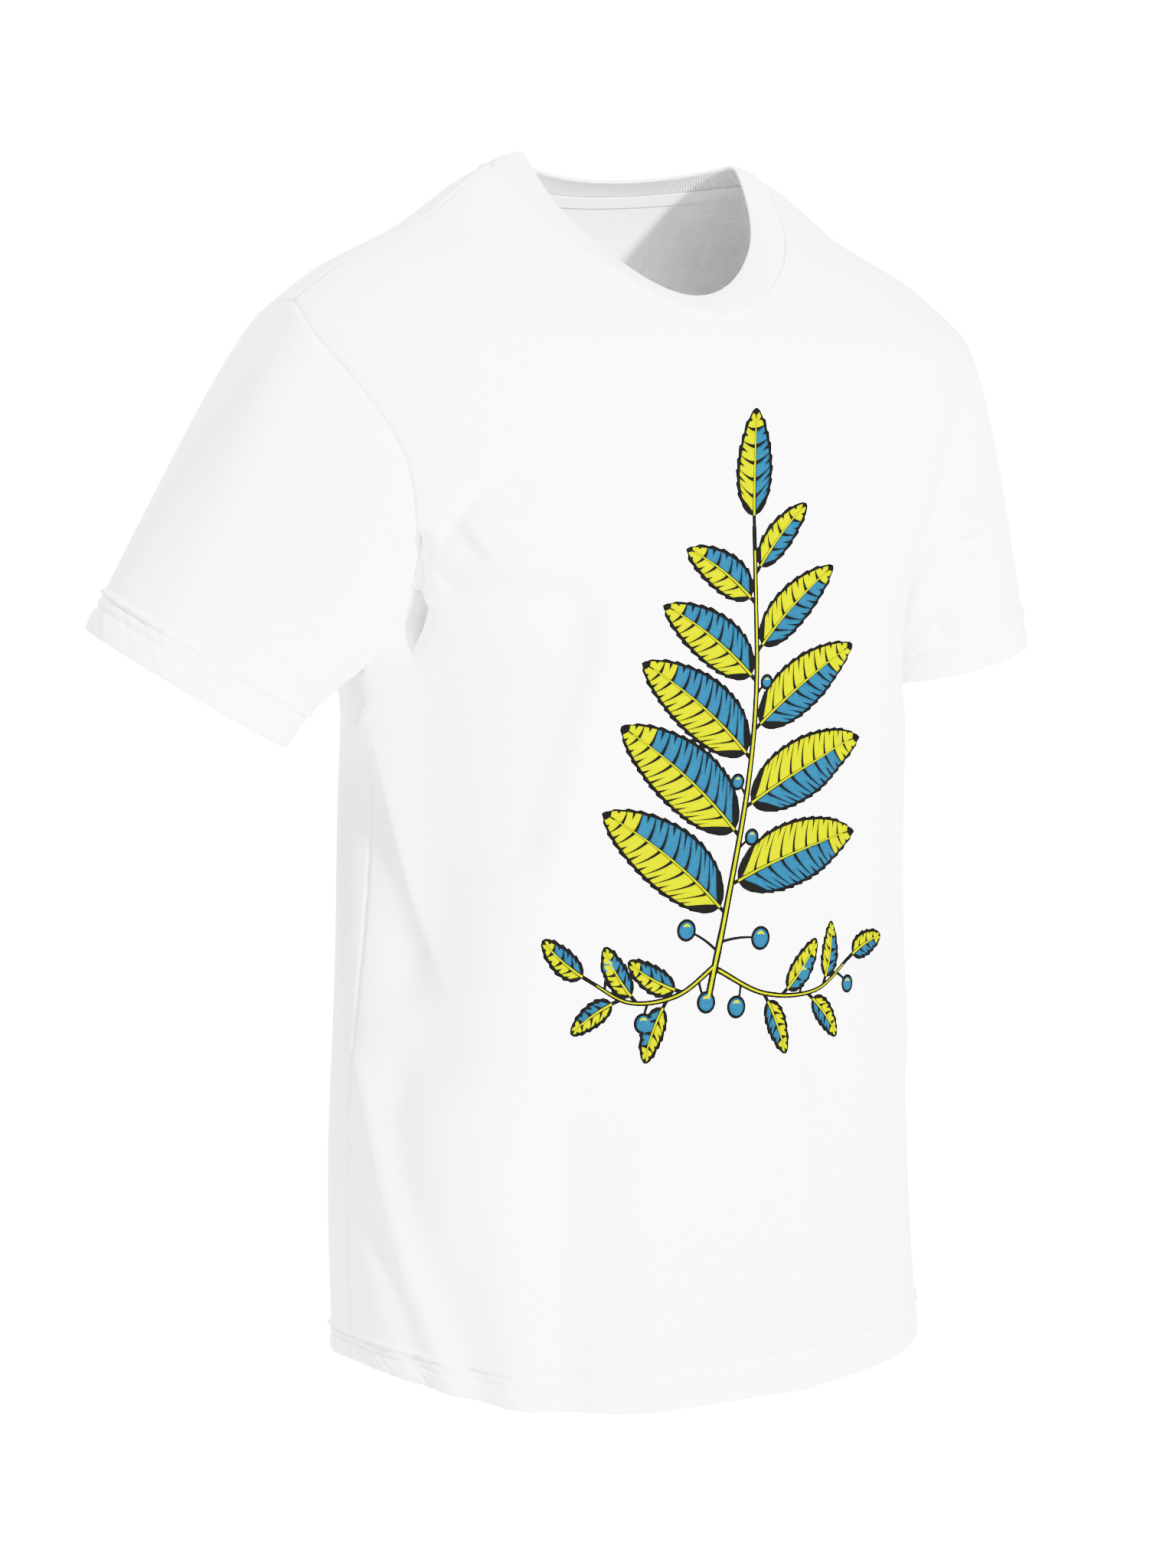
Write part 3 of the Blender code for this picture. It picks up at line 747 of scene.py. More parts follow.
def panel(name, half):
    flat, angles, neck_columns = panel_grid(half)
    heights = flat[..., 1]
    points = body(angles, heights)
    normals = grid_normals(points, False)
    normals[..., 2] = normals[..., 2] * np.clip(heights / LEVEL_NORMALS, 0, 1)
    normals = unit(normals)
    first, last = edge_distances(points)
    down = edge_distances(points.transpose(1, 0, 2))[1].T
    seam = np.minimum(first, last)
    ways = normals.copy()
    on_arm = np.flatnonzero(heights[-1] >= ARMPIT_HEIGHT)
    rows = len(on_arm)
    share = line_lengths(ring(angles[-1, on_arm], heights[-1, on_arm])) / ARM_EDGES[half].length
    turns = ARM_EDGES[half].at(share)
    for column, side in ((0, -1), (-1, 1)):
        mitre = arm_mitre(turns, side if half == 0 else -side)
        near = (first if column == 0 else last)[:, -rows:, None]
        mix = hump(near, MITRE_SPREAD)
        ways[:, -rows:] = unit(ways[:, -rows:] * (1 - mix) + mitre[None] * mix)
    lift = seam_puckers(seam, heights + 3 * half, 4 + half) * smooth((heights - PUCKERS_FROM) / PUCKERS_FADE)
    lift = lift + hem_form(heights, flat[..., 0], 2 + half) * smooth(seam / HEM_BESIDE_SEAM + 0.15)
    columns = len(points) // 2
    on_neck = np.abs(np.arange(len(points)) - columns)[:, None] <= neck_columns
    rise, place, spread = NECK_RIDGE
    neck_ridge = rise * hump(down - place, spread) - NECK_DIP[0] * hump(down, NECK_DIP[1])
    rise, place, spread = SHOULDER_RIDGE
    shoulder_ridge = rise * hump(down - place, spread) + seam_dip(down) * SHOULDER_DIP
    lift = lift + np.where(on_neck, neck_ridge, shoulder_ridge)
    points = points + normals * lift[..., None] + ways * seam_dip(seam)[..., None]
    out = grid_normals(points, False)
    inside = int(np.searchsorted(SIDE_HEIGHTS, HEM_TURN))
    whole = turn_up(points, out, inside)
    added = whole.shape[1] - points.shape[1]
    pattern = np.concatenate([np.zeros((len(flat), added, 2)), flat], 1)
    pattern[:, :added, 0] = flat[:, :1, 0]
    pattern[:, :added, 1] = np.linspace(-HEM_TURN, 0, added)
    made = cloth(name, whole, JERSEY, pattern, WHITE_JERSEY)
    PANELS[half] = {"points": points, "normals": out, "neck": neck_columns, "down": down}
    return made


front = panel("front_jersey", 0)
back = panel("back_jersey", 1)
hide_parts("front_panel", "front_hem_turn")
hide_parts("back_panel", "back_hem_turn")

# Print
# A sprig of leaves and berries, pulled through three screens on the middle of the front.
# Black goes down first, then blue and yellow water inks inside its lines, each a thin film on the knit.

# Where the foot of the print stands on the front, and the line of each stem from there
PRINT_FOOT = (0.016, 0.226)
STEMS = {
    "main": ((-0.026, 0.000), (-0.010, 0.060), (0.004, 0.135), (0.006, 0.205), (-0.004, 0.285)),
    "right": ((-0.018, 0.026), (-0.046, 0.010), (-0.078, 0.008), (-0.104, 0.022)),
    "left": ((-0.019, 0.024), (0.018, 0.006), (0.060, 0.004), (0.092, 0.020)),
}
STEM_WIDTHS = (0.0040, 0.0016)
STEM_OUTLINE = 0.0016
STEM_FILL = 0.5
TWIG_WIDTH = 0.6

# A leaf: the width and form of its sides, how it bends, and its stalk
LEAF_WIDTH = 0.175
LEAF_FORM = (2.67, 0.6, 0.85)
LEAF_BEND = 0.16
LEAF_STEP = 0.0012
PETIOLE = 0.006
STALK = 0.0026
# Its black edge with teeth, and the midrib, which thins towards the tip
OUTLINE = 0.0018
TOOTH = 0.0013
TEETH_PER_VEIN = 1.5
MIDRIB = 0.0014
MIDRIB_END = 0.90
# Its veins are black gaps between patches of colour, and each patch has a notch at its outer end
VEINS = (0.03, 0.92)
VEIN_ROOM = 0.86
VEIN_PITCH = 0.0095
VEIN_SLANT = 0.15
VEIN_BOW = 1.4
VEIN_GAPS = (0.0012, 0.0004)
NOTCH = 0.0012
NOTCHES = (0.40, 0.62)
BLUE_SHARE = 0.72
# A berry: its stalk's width, thinning and bend, and the turn, place and width of its glint
BERRY_STALK = (0.0021, 0.0006)
BERRY_BEND = 0.22
GLINT_TURN = (0.6, 2.4)
GLINT_PLACE = 0.62
GLINT_WIDTH = 0.34
# The film of ink: how fine its mesh is, and how far it sinks into the cloth
FILM_STEP = 0.0030
INK_REACH = 0.0001

# stem, share of it, side, length, angle from the stem
LEAVES = (
    ("main", 0.20, -1, 0.103, 58), ("main", 0.26, 1, 0.104, 56), ("main", 0.36, -1, 0.106, 54),
    ("main", 0.42, 1, 0.101, 52), ("main", 0.52, -1, 0.095, 50), ("main", 0.58, 1, 0.088, 48),
    ("main", 0.68, -1, 0.077, 46), ("main", 0.74, 1, 0.069, 44), ("main", 0.84, -1, 0.056, 42),
    ("main", 0.90, 1, 0.048, 40), ("main", 1.00, 1, 0.062, 2),
    ("right", 0.30, 1, 0.036, 44), ("right", 0.42, -1, 0.034, 46), ("right", 0.64, 1, 0.034, 44),
    ("right", 0.76, -1, 0.031, 46), ("right", 1.00, 1, 0.034, 4),
    ("left", 0.34, 1, 0.034, 46), ("left", 0.46, -1, 0.038, 44), ("left", 0.64, 1, 0.032, 46),
    ("left", 0.76, -1, 0.034, 44), ("left", 1.00, 1, 0.034, 4),
)

# stem, share of it, side, length of the stalk, angle from the stem, radius
BERRIES = (
    ("right", 0.56, -1, 0.012, 60, 0.0046), ("right", 0.88, 1, 0.014, 56, 0.0040),
    ("left", 0.58, -1, 0.013, 58, 0.0044), ("left", 0.88, 1, 0.013, 56, 0.0040),
    ("right", 0.16, -1, 0.014, 64, 0.0050), ("left", 0.18, 1, 0.014, 64, 0.0052),
    ("main", 0.14, 1, 0.030, 62, 0.0056), ("main", 0.12, -1, 0.026, 60, 0.0050),
    ("main", 0.33, 1, 0.013, 30, 0.0036), ("main", 0.44, -1, 0.012, 30, 0.0034),
    ("main", 0.65, 1, 0.011, 30, 0.0030),
)


def stem_at(stem, share):
    """A place on a stem and the stem's way there."""
    line = curve_through(STEMS[stem], 200)
    lengths = line_lengths(line)
    spots = [read_line(s * lengths[-1], lengths, line)
             for s in (max(share - 0.01, 0), share, min(share + 0.01, 1))]
    way = spots[2] - spots[0]
    return spots[1] + np.array(PRINT_FOOT), way / np.linalg.norm(way)


def branch(stem, share, side, angle):
    """Where a leaf or berry leaves its stem, the way it takes there, and the way beside it."""
    root, way = stem_at(stem, share)
    a = math.radians(-side * angle)
    way = np.array([way[0] * math.cos(a) - way[1] * math.sin(a), way[0] * math.sin(a) + way[1] * math.cos(a)])
    return root, way, np.array([way[1], -way[0]]) * side


def ribbon(line, widths):
    """The outline of a line drawn with a changing width."""
    way = unit(np.gradient(line, axis=0))
    beside = np.stack([-way[:, 1], way[:, 0]], -1) * np.asarray(widths)[:, None] / 2
    return np.concatenate([line + beside, (line - beside)[::-1]])


def disc(middle, radius):
    turn = np.linspace(0, 2 * math.pi, 37)[:-1]
    return middle + radius * np.stack([np.cos(turn), np.sin(turn)], -1)


def leaf_shapes(stem, share, side, length, angle):
    """Black, blue and yellow shapes of one leaf, as a list of colour and outline."""
    root, way, beside = branch(stem, share, side, angle)
    count = max(round(length * VEIN_ROOM / VEIN_PITCH), 4)

    def half_width(t):
        t = np.clip(t, 0, 1)
        return length * LEAF_WIDTH * LEAF_FORM[0] * t**LEAF_FORM[1] * (1 - t)**LEAF_FORM[2]

    def spot(t, out):
        run = PETIOLE + length * t
        droop = LEAF_BEND * length * t**2
        return root + run[:, None] * way + (droop + out)[:, None] * beside

    t = np.linspace(0, 1, max(int(length / LEAF_STEP), 20))
    tooth = TOOTH * ((t * count * TEETH_PER_VEIN) % 1) * np.clip(t * 4, 0, 1)
    edge = half_width(t) + OUTLINE * np.clip((1 - t) * 8, 0, 1)
    outline = np.concatenate([spot(t, edge + tooth), spot(t, -edge - tooth)[::-1][1:]])
    stalk = np.linspace(-PETIOLE / length, 0.05, 8)
    shapes = [("black", outline), ("black", ribbon(spot(stalk, 0 * stalk), 0 * stalk + STALK))]
    t = np.linspace(0.0, MIDRIB_END, 40)
    shapes.append(("yellow", ribbon(spot(t, 0 * t), MIDRIB * (0.85 - 0.6 * t))))
    for face in (-1, 1):
        for i in range(count):
            low = VEINS[0] + VEINS[1] * i / count
            high = VEINS[0] + VEINS[1] * (i + 1) / count
            f = np.linspace(0, 1, 14)
            gap = (VEIN_GAPS[0] * (1 - f) + VEIN_GAPS[1] * f) / length

            def at(start, f):
                t = start + VEIN_SLANT * (1 - start) * f**VEIN_BOW
                inside = MIDRIB * (1 - 0.7 * t)
                room = np.maximum(half_width(t) - inside, 0.0003)
                return spot(t, face * (inside + room * f))

            middle = (low + high) / 2
            mouth = NOTCH / length
            notch = [at(middle - mouth, np.ones(1)), at(middle, np.array([1 - NOTCHES[i % 2]])),
                     at(middle + mouth, np.ones(1))]
            shape = np.concatenate([at(low + gap, f)] + notch + [at(high - gap, f)[::-1]])
            blue = face * side > 0 and i < count * BLUE_SHARE
            shapes.append(("blue" if blue else "yellow", shape))
    return shapes


def berry_shapes(stem, share, side, length, angle, radius):
    root, way, beside = branch(stem, share, side, angle)
    t = np.linspace(0, 1, 16)
    stalk = root + length * (t[:, None] * way + BERRY_BEND * (t**2)[:, None] * beside)
    glint = np.linspace(*GLINT_TURN, 14)
    bow = stalk[-1] + radius * GLINT_PLACE * np.stack([np.cos(glint), np.sin(glint)], -1)
    thick = radius * GLINT_WIDTH * np.sin(np.linspace(0.05, math.pi - 0.05, 14))
    return [("black", ribbon(stalk, BERRY_STALK[0] - BERRY_STALK[1] * t)),
            ("black", disc(stalk[-1], radius + OUTLINE)),
            ("blue", disc(stalk[-1], radius)),
            ("yellow", ribbon(bow, thick))]


def print_shapes():
    share = np.linspace(0, 1, 80)
    shapes = []
    for stem in STEMS:
        line = np.array([stem_at(stem, s)[0] for s in share])
        wide = STEM_WIDTHS[0] + (STEM_WIDTHS[1] - STEM_WIDTHS[0]) * share
        wide = wide * (1 if stem == "main" else TWIG_WIDTH)
        shapes.append(("black", ribbon(line, wide + STEM_OUTLINE)))
        shapes.append(("yellow", ribbon(line[2:-4], wide[2:-4] * STEM_FILL)))
    for row in BERRIES:
        shapes += berry_shapes(*row)
    for row in LEAVES:
        shapes += leaf_shapes(*row)
    return shapes


def within(points, outline):
    """Which points lie inside a closed outline."""
    start = outline
    end = np.roll(outline, -1, 0)
    x = points[:, :1]
    y = points[:, 1:]
    crossed = (start[:, 1] > y) != (end[:, 1] > y)
    rise = end[:, 1] - start[:, 1]
    slope = (end[:, 0] - start[:, 0]) / np.where(rise == 0, 1, rise)
    return (crossed & (x < start[:, 0] + slope * (y - start[:, 1]))).sum(1) % 2 == 1


def ink_film(name, outlines, height, look):
    """A thin closed film of ink that follows the front of the shirt."""
    spots = []
    faces = []
    for outline in outlines:
        faces.append(list(range(len(spots), len(spots) + len(outline))))
        spots += [tuple(p) for p in outline]
    low = np.min(spots, axis=0)
    high = np.max(spots, axis=0)
    across, up = np.meshgrid(*[np.arange(low[k], high[k], FILM_STEP) for k in range(2)], indexing="ij")
    across = across + FILM_STEP / 2 * (np.arange(across.shape[1]) % 2)
    spots += list(zip(across.ravel(), up.ravel()))
    made = delaunay_2d_cdt([Vector(p) for p in spots], [], faces, 1, 1e-7)
    flat = np.array([tuple(p) for p in made[0]])
    triangles = np.array(made[2])
    middles = flat[triangles].mean(1)
    drawn = np.zeros(len(triangles), bool)
    for outline in outlines:
        near = np.all((middles > outline.min(0)) & (middles < outline.max(0)), axis=1)
        drawn[near] |= within(middles[near], outline)
    triangles = triangles[drawn]
    used, triangles = np.unique(triangles, return_inverse=True)
    triangles = triangles.reshape(-1, 3)
    flat = flat[used]
    angles = roll_up(0, flat)
    ground = body(angles, flat[:, 1])
    out = body_normal(angles, flat[:, 1])
    vertices = np.concatenate([ground + out * height, ground - out * INK_REACH])
    edges = np.concatenate([triangles[:, [0, 1]], triangles[:, [1, 2]], triangles[:, [2, 0]]])
    code = np.sort(edges, 1) @ np.array([len(flat), 1])
    _, where, times = np.unique(code, return_index=True, return_counts=True)
    rim = edges[where[times == 1]]
    a, b = rim[:, 0], rim[:, 1]
    under = len(flat)
    walls = np.concatenate([np.stack([b, a, a + under], -1), np.stack([b, a + under, b + under], -1)])
    faces = np.concatenate([triangles, triangles[:, ::-1] + under, walls])
    return piece(name, vertices, faces, look, np.concatenate([flat, flat]))


def ink_look(name, thin, full, gloss):
    """A matte water ink: the knit shows through it, and loose fibre lifts it a little."""
    return knit_look(name, thin, full, 0.00005, tones=(0.40, 0.66), rough=0.62, specular=gloss, sheen=0.0)


# height of the film, and its finish
INKS = {
    "black": (0.00022, ink_look("black_ink", (0.0034, 0.0034, 0.0032), (0.0016, 0.0016, 0.0015), 0.02)),
    "blue": (0.00028, ink_look("blue_ink", (0.0095, 0.066, 0.120), (0.0055, 0.048, 0.098), 0.06)),
    "yellow": (0.00034, ink_look("yellow_ink", (0.360, 0.345, 0.008), (0.305, 0.295, 0.004), 0.06)),
}
for colour, (height, look) in INKS.items():
    outlines = [outline for shade, outline in print_shapes() if shade == colour]
    ink_film("print_" + colour, outlines, height, look)

# Sleeves
# Each is one cut of the same jersey, set into the armhole and closed by a seam under the arm.
# The wearer's right sleeve stands away from the body and the left one hangs lower.

# outwards, backwards, down, half height, half depth, tilt of the hem, dip of its front
SLEEVE_RIGHT = (0.0663, 0.037, 0.126, 0.068, 0.046, 28.9, 15.5)
SLEEVE_LEFT = (0.0665, 0.037, 0.125, 0.0555, 0.056, 14.5, 0.0)
# How the cloth leaves the armhole at its top, at its foot and at its sides, and reaches the hem
CROWN_REACH = 0.091
CROWN_SLOPE = 49.0
CROWN_BACK = 0.1
UNDERARM_REACH = 0.0735
UNDERARM_WAY = (0.35, -0.25, -0.9)
SIDE_SHARE = 0.9
SIDE_BULGE = 0.0515
HEM_REACH = 0.0975
SLEEVE_HEM_ROWS = (0.0150, 0.0210)
SLEEVE_TURN = 0.0200
SLEEVE_FOLDS_FADE = 0.010

# kind, stops of turn round the sleeve and share of its length, half width, height
SLEEVE_FOLDS = {
    -1: (
        ("soft", ((112, 0.08), (113, 0.16), (115, 0.26)), 0.008, -0.0032),
        ("soft", ((40, 0.10), (44, 0.40), (48, 0.80), (49, 1.05)), 0.016, 0.0024),
        ("soft", ((66, 0.12), (66, 0.45), (68, 0.80), (69, 1.05)), 0.016, -0.0022),
        ("soft", ((140, 0.05), (132, 0.35), (124, 0.75)), 0.014, 0.0028),
    ),
    1: (
        ("step", ((149, 0.20), (137, 0.13), (122, 0.14), (107, 0.21), (97, 0.27), (84, 0.38)),
         0.0065, 0.0070),
        ("crisp", ((86, 0.42), (102, 0.47), (114, 0.53), (126, 0.61), (134, 0.76)), 0.006, -0.0100),
        ("soft", ((103, 0.38), (122, 0.41), (136, 0.50)), 0.006, 0.0045),
        ("soft", ((160, 0.22), (130, 0.07), (106, 0.08), (90, 0.24), (74, 0.38)), 0.008, 0.0045),
        ("soft", ((76, 0.62), (90, 0.78), (100, 1.00)), 0.010, 0.0030),
    ),
}


def plain_sleeve(turn, along, side):
    """A point of the sleeve without folds, by its turn round the arm and its share of the length."""
    turn, along = np.broadcast_arrays(np.asarray(turn, float), np.asarray(along, float))
    out, back, drop, tall, deep, tilt, dip = SLEEVE_LEFT if side > 0 else SLEEVE_RIGHT
    tilt = math.radians(tilt)
    dip = math.radians(dip)
    angle, height = armhole(turn, side)
    start = body(angle, height)
    high = ring(side * HALF_PI, SHOULDER_HEIGHT)
    low = ring(side * HALF_PI, ARMPIT_HEIGHT)
    centre = (high + low) / 2 + np.array([side * out, back, -drop])
    c = np.cos(turn)
    s = np.sin(turn)
    lift = np.array([side * math.cos(tilt), 0, math.sin(tilt)])
    fore = np.array([0, -math.cos(dip), -math.sin(dip)])
    end = centre + (tall * c)[..., None] * lift + (deep * s)[..., None] * fore
    crown = np.clip(c, 0, 1)[..., None]
    under = np.clip(-c, 0, 1)[..., None]
    slope = math.radians(CROWN_SLOPE)
    crown_way = np.array([side * math.cos(slope), CROWN_BACK, -math.sin(slope)]) * CROWN_REACH
    under_way = np.array([side * UNDERARM_WAY[0], *UNDERARM_WAY[1:]]) * UNDERARM_REACH
    side_way = (end - start) * SIDE_SHARE + np.array([side * SIDE_BULGE, 0, 0])
    leave = crown * crown_way + under * under_way + (1 - crown - under) * side_way
    arrive = np.array([side * math.sin(tilt), 0, -math.cos(tilt)]) * HEM_REACH
    return hermite(along[..., None], start, leave, end, arrive)


SLEEVES = {}


def sleeve_piece(name, side):
    loop = np.linspace(-math.pi, math.pi, 800)
    round_arm = Edge(loop, ring(*armhole(loop, 1)))
    length = round_arm.length
    turn = round_arm.at(spaced(length, (0, length), fine=0.0012) / length)[:-1]
    share = np.linspace(0, 1, 60)
    table = plain_sleeve(*np.meshgrid(turn, share, indexing="ij"), side)
    reach = edge_distances(table.transpose(1, 0, 2))[0].T
    hem_steps = hem_lines(SLEEVE_HEM_ROWS)
    longest = reach[:, -1].max()
    middle_count = len(spaced(longest - HEM_TOP, (0, longest - HEM_TOP), fine=0.0009)) - 1
    from_hem = np.zeros((len(turn), len(hem_steps) + middle_count))
    for i, whole in enumerate(reach[:, -1]):
        rest = whole - HEM_TOP
        middle = spaced(rest, (0, rest), fine=0.0009, count=middle_count) + HEM_TOP
        from_hem[i] = np.concatenate([hem_steps, middle[1:]])
    along = np.stack([np.interp(r[-1] - d, r, share) for r, d in zip(reach, from_hem)])
    turns = np.repeat(turn[:, None], along.shape[1], 1)
    points = plain_sleeve(turns, along, side)
    order = -side
    normals = grid_normals(points, True) * order
    paths = fold_paths(SLEEVE_FOLDS[side], lambda a, t: plain_sleeve(a, t, side))
    to_arm = reach[:, -1:] - from_hem
    push = folds_push(points, normals, paths) * smooth(to_arm / SLEEVE_FOLDS_FADE)
    round_hem = line_lengths(points[:, 0])
    s = round_hem[:, None] + 0 * from_hem
    under = np.linalg.norm(points - points[:1], axis=-1)
    push = push + seam_puckers(to_arm, s, 7 + side) + seam_puckers(under, from_hem, 9 + side)
    scale = HEM_ROWS[0] / SLEEVE_HEM_ROWS[0]
    push = push + hem_form(from_hem * scale, s, 12 + side) * smooth(under / HEM_BESIDE_SEAM + 0.2)
    mitre = arm_mitre(turn, side)[:, None]
    mix = hump(to_arm, MITRE_SPREAD)[..., None]
    ways = unit(normals * (1 - mix) + mitre * mix)
    points = points + normals * (push + seam_dip(under))[..., None] + ways * seam_dip(to_arm)[..., None]
    out = grid_normals(points, True) * order
    whole = turn_up(points, out, int(np.searchsorted(hem_steps, SLEEVE_TURN)))
    added = whole.shape[1] - points.shape[1]
    pattern = np.zeros(whole.shape[:2] + (2,))
    pattern[..., 0] = round_hem[:, None] + side
    pattern[:, added:, 1] = from_hem
    pattern[:, :added, 1] = np.linspace(-SLEEVE_TURN, 0, added)
    made = cloth(name, whole, JERSEY, pattern, WHITE_JERSEY, closed=True, outward=order)
    SLEEVES[side] = {"points": points, "normals": out, "from_hem": from_hem}
    return made


sleeve_right = sleeve_piece("sleeve_jersey_right", -1)
sleeve_left = sleeve_piece("sleeve_jersey_left", 1)
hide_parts("sleeve_right", "sleeve_hem_turn_right")
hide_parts("sleeve_left", "sleeve_hem_turn_left")

# Rib at the neck
# A strip of fine one by one rib, folded double along its top edge and sewn to the neckline.
# Its ribs run across the strip and close up towards the fold, so the neck lies flat.

RIB_WIDTH = 0.0229
RIB_THICK = 0.0020
# How far its outer and inner faces arch, and the first places across it, tucked into the seam
RIB_ARCH = 0.0012
RIB_INNER_ARCH = 3.2
RIB_TUCK = ((0.0, -0.0010), (0.0008, -0.0002))
# How far it leans in from upright, in degrees
LEAN_FRONT = 63.5
LEAN_SIDE = 68.5
LEAN_BACK = 71.0
RIB_COUNT = 330
RIB_SAMPLES = 6
RIB_RELIEF = 0.00030
RIB_SHARPNESS = 0.7
RIB_FADE = 0.0012


def neck(angle):
    return body(angle, neck_height(angle))


def rib_top(angle):
    """The fold at the top of the rib, which leans in from the seam."""
    q = neck(angle)
    c = np.cos(angle)
    lean = LEAN_SIDE + (np.where(c > 0, LEAN_FRONT, LEAN_BACK) - LEAN_SIDE) * c**2
    lean = np.radians(lean)
    depth = np.where(q[..., 1] < 0, NECK_FRONT, NECK_BACK)
    outward = np.stack([q[..., 0] / NECK_HALF_WIDTH**2, q[..., 1] / depth**2, 0 * c], -1)
    up = np.array([0.0, 0.0, 1.0])
    step = up * np.cos(lean)[..., None] - unit(outward) * np.sin(lean)[..., None]
    return q + step * RIB_WIDTH


def neck_rib():
    angles = np.linspace(0, 2 * math.pi, 1201)
    length = line_lengths(neck(angles))
    count = RIB_COUNT * RIB_SAMPLES
    angles = np.interp(np.linspace(0, length[-1], count + 1)[:-1], length, angles)
    low = neck(angles)
    high = rib_top(angles)
    way = unit(high - low)
    across = np.roll(low, -1, 0) - np.roll(low, 1, 0)
    out = unit(np.cross(across, way))
    half = RIB_THICK / 2
    face = np.linspace(0, 1, 13)
    outer = [(t * RIB_WIDTH, RIB_ARCH * 4 * t * (1 - t)) for t in face[1:-1]]
    edge = RIB_WIDTH - half
    bend = np.linspace(0.2, math.pi - 0.2, 6)
    fold = [(edge + half * math.sin(a), -half + half * math.cos(a)) for a in bend]
    inner = [(t * edge, -RIB_THICK + RIB_ARCH * RIB_INNER_ARCH * t * (1 - t)) for t in face[-2:0:-1]]
    profile = np.array([*RIB_TUCK, *outer, *fold, *inner, (0.0, -RIB_THICK)])
    turn = 2 * math.pi * np.arange(count) / RIB_SAMPLES
    ridge = RIB_RELIEF * (np.abs(np.cos(turn / 2))**RIB_SHARPNESS * 2 - 1)
    points = low[:, None] + way[:, None] * profile[None, :, :1] + out[:, None] * profile[None, :, 1:]
    around = np.roll(points, -1, 1) - np.roll(points, 1, 1)
    spin = np.roll(points, -1, 0) - np.roll(points, 1, 0)
    face_out = unit(np.cross(spin, around))
    strength = np.clip(profile[:, 0] / RIB_FADE, 0, 1)
    points = points + face_out * (ridge[:, None] * strength[None])[..., None]
    vertices = points.reshape(-1, 3)
    rows, columns = points.shape[:2]
    index = np.arange(rows * columns).reshape(rows, columns)
    after = np.roll(index, -1, 0)
    faces = np.stack([index, after, np.roll(after, -1, 1), np.roll(index, -1, 1)], -1).reshape(-1, 4)
    round_neck = np.arange(rows) * length[-1] / count
    pattern = np.stack(np.meshgrid(round_neck, line_lengths(profile), indexing="ij"), -1).reshape(-1, 2)
    return piece("neck_rib_knit", vertices, faces, WHITE_RIB, pattern)


def paint_groove_shade(look, pitch, shade_tint):
    """Paints shade into the rib's colour in the grooves between the ribs, which lie half way from one rib to
    the next.
    """
    nodes = look.node_tree.nodes
    links = look.node_tree.links
    colour = nodes["Principled BSDF"].inputs["Base Color"]
    knit_colour = colour.links[0].from_socket
    split = nodes.new("ShaderNodeSeparateXYZ")
    links.new(nodes["UV Map"].outputs[0], split.inputs[0])
    angle = math_node(nodes, links, "MULTIPLY", split.outputs["X"], 2 * math.pi / pitch)
    groove_shade = math_node(nodes, links, "MULTIPLY_ADD", math_node(nodes, links, "COSINE", angle), -0.5, 0.5)
    # The painted groove shade multiplies the knit colour by the shade tint
    mix = nodes.new("ShaderNodeMix")
    mix.data_type = "RGBA"
    mix.blend_type = "MULTIPLY"
    # The colour sockets share their names with others, so they go by number
    first, second = mix.inputs[6], mix.inputs[7]
    second.default_value = (*shade_tint, 1)
    links.new(groove_shade, mix.inputs["Factor"])
    links.new(knit_colour, first)
    links.new(mix.outputs[2], colour)


WHITE_RIB = knit_look("white_rib", (0.905, 0.905, 0.906), (0.872, 0.872, 0.876), 0.00006, 0.70, 0.60)
NECK_ROUND = line_lengths(neck(np.linspace(0, 2 * math.pi, 1201)))[-1]
# Painted shade in the grooves between the ribs, multiplied into the rib's knit colour
paint_groove_shade(WHITE_RIB, NECK_ROUND / RIB_COUNT, (0.76, 0.76, 0.78))
rib = neck_rib()
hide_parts("neck_rib")

# Neck tape
# A narrow woven cotton tape, sewn flat inside the back of the neck to cover the seam.
# It runs nearly from one shoulder seam to the other.

TAPE_WIDTH = 0.0100
TAPE_THICK = 0.0005
# Share of the back neck that it covers, its place inside the cloth and below the seam, and its slope
TAPE_REACH = 0.86
TAPE_INSET = 0.0017
TAPE_BELOW = 0.0006
TAPE_SLOPE = 0.62


def neck_tape():
    angles = math.pi + np.linspace(-1, 1, 240) * SHOULDER_CORNER[1] * TAPE_REACH
    rows = []
    for drop in np.linspace(TAPE_BELOW + TAPE_WIDTH, TAPE_BELOW, 13):
        level = neck_height(angles) - drop * TAPE_SLOPE
        rows.append(body(angles, level) - body_normal(angles, level) * TAPE_INSET)
    points = np.stack(rows, 1)
    run = line_lengths(points[:, 6])
    drops = np.linspace(0, TAPE_WIDTH, points.shape[1])
    pattern = np.stack(np.meshgrid(run, drops, indexing="ij"), -1)
    return cloth("neck_tape_woven", points, TAPE_THICK, pattern, WHITE_TAPE)


def tape_look():
    look, nodes, links, shader = new_look("white_tape", 0.8, 0.25)
    twill = nodes.new("ShaderNodeTexWave")
    twill.wave_type = "BANDS"
    twill.bands_direction = "DIAGONAL"
    twill.inputs["Scale"].default_value = 420
    twill.inputs["Distortion"].default_value = 0.4
    links.new(pattern_place(nodes), twill.inputs["Vector"])
    colour_by(nodes, links, shader, twill.outputs["Fac"], (0.80, 0.80, 0.80), (0.90, 0.90, 0.90))
    relief_by(nodes, links, shader, twill.outputs["Fac"], 0.0001)
    return look


WHITE_TAPE = tape_look()
tape = neck_tape()
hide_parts("neck_tape")

# Stitching
# Twin rows of white polyester thread hold the hems, the neck seam and the shoulders.
# Each stitch is a short float of thread that sinks into the cloth at both ends.

STITCH_PITCH = 0.0031
STITCH_LENGTH = 0.0026
THREAD = 0.00021
THREAD_SIDES = 6
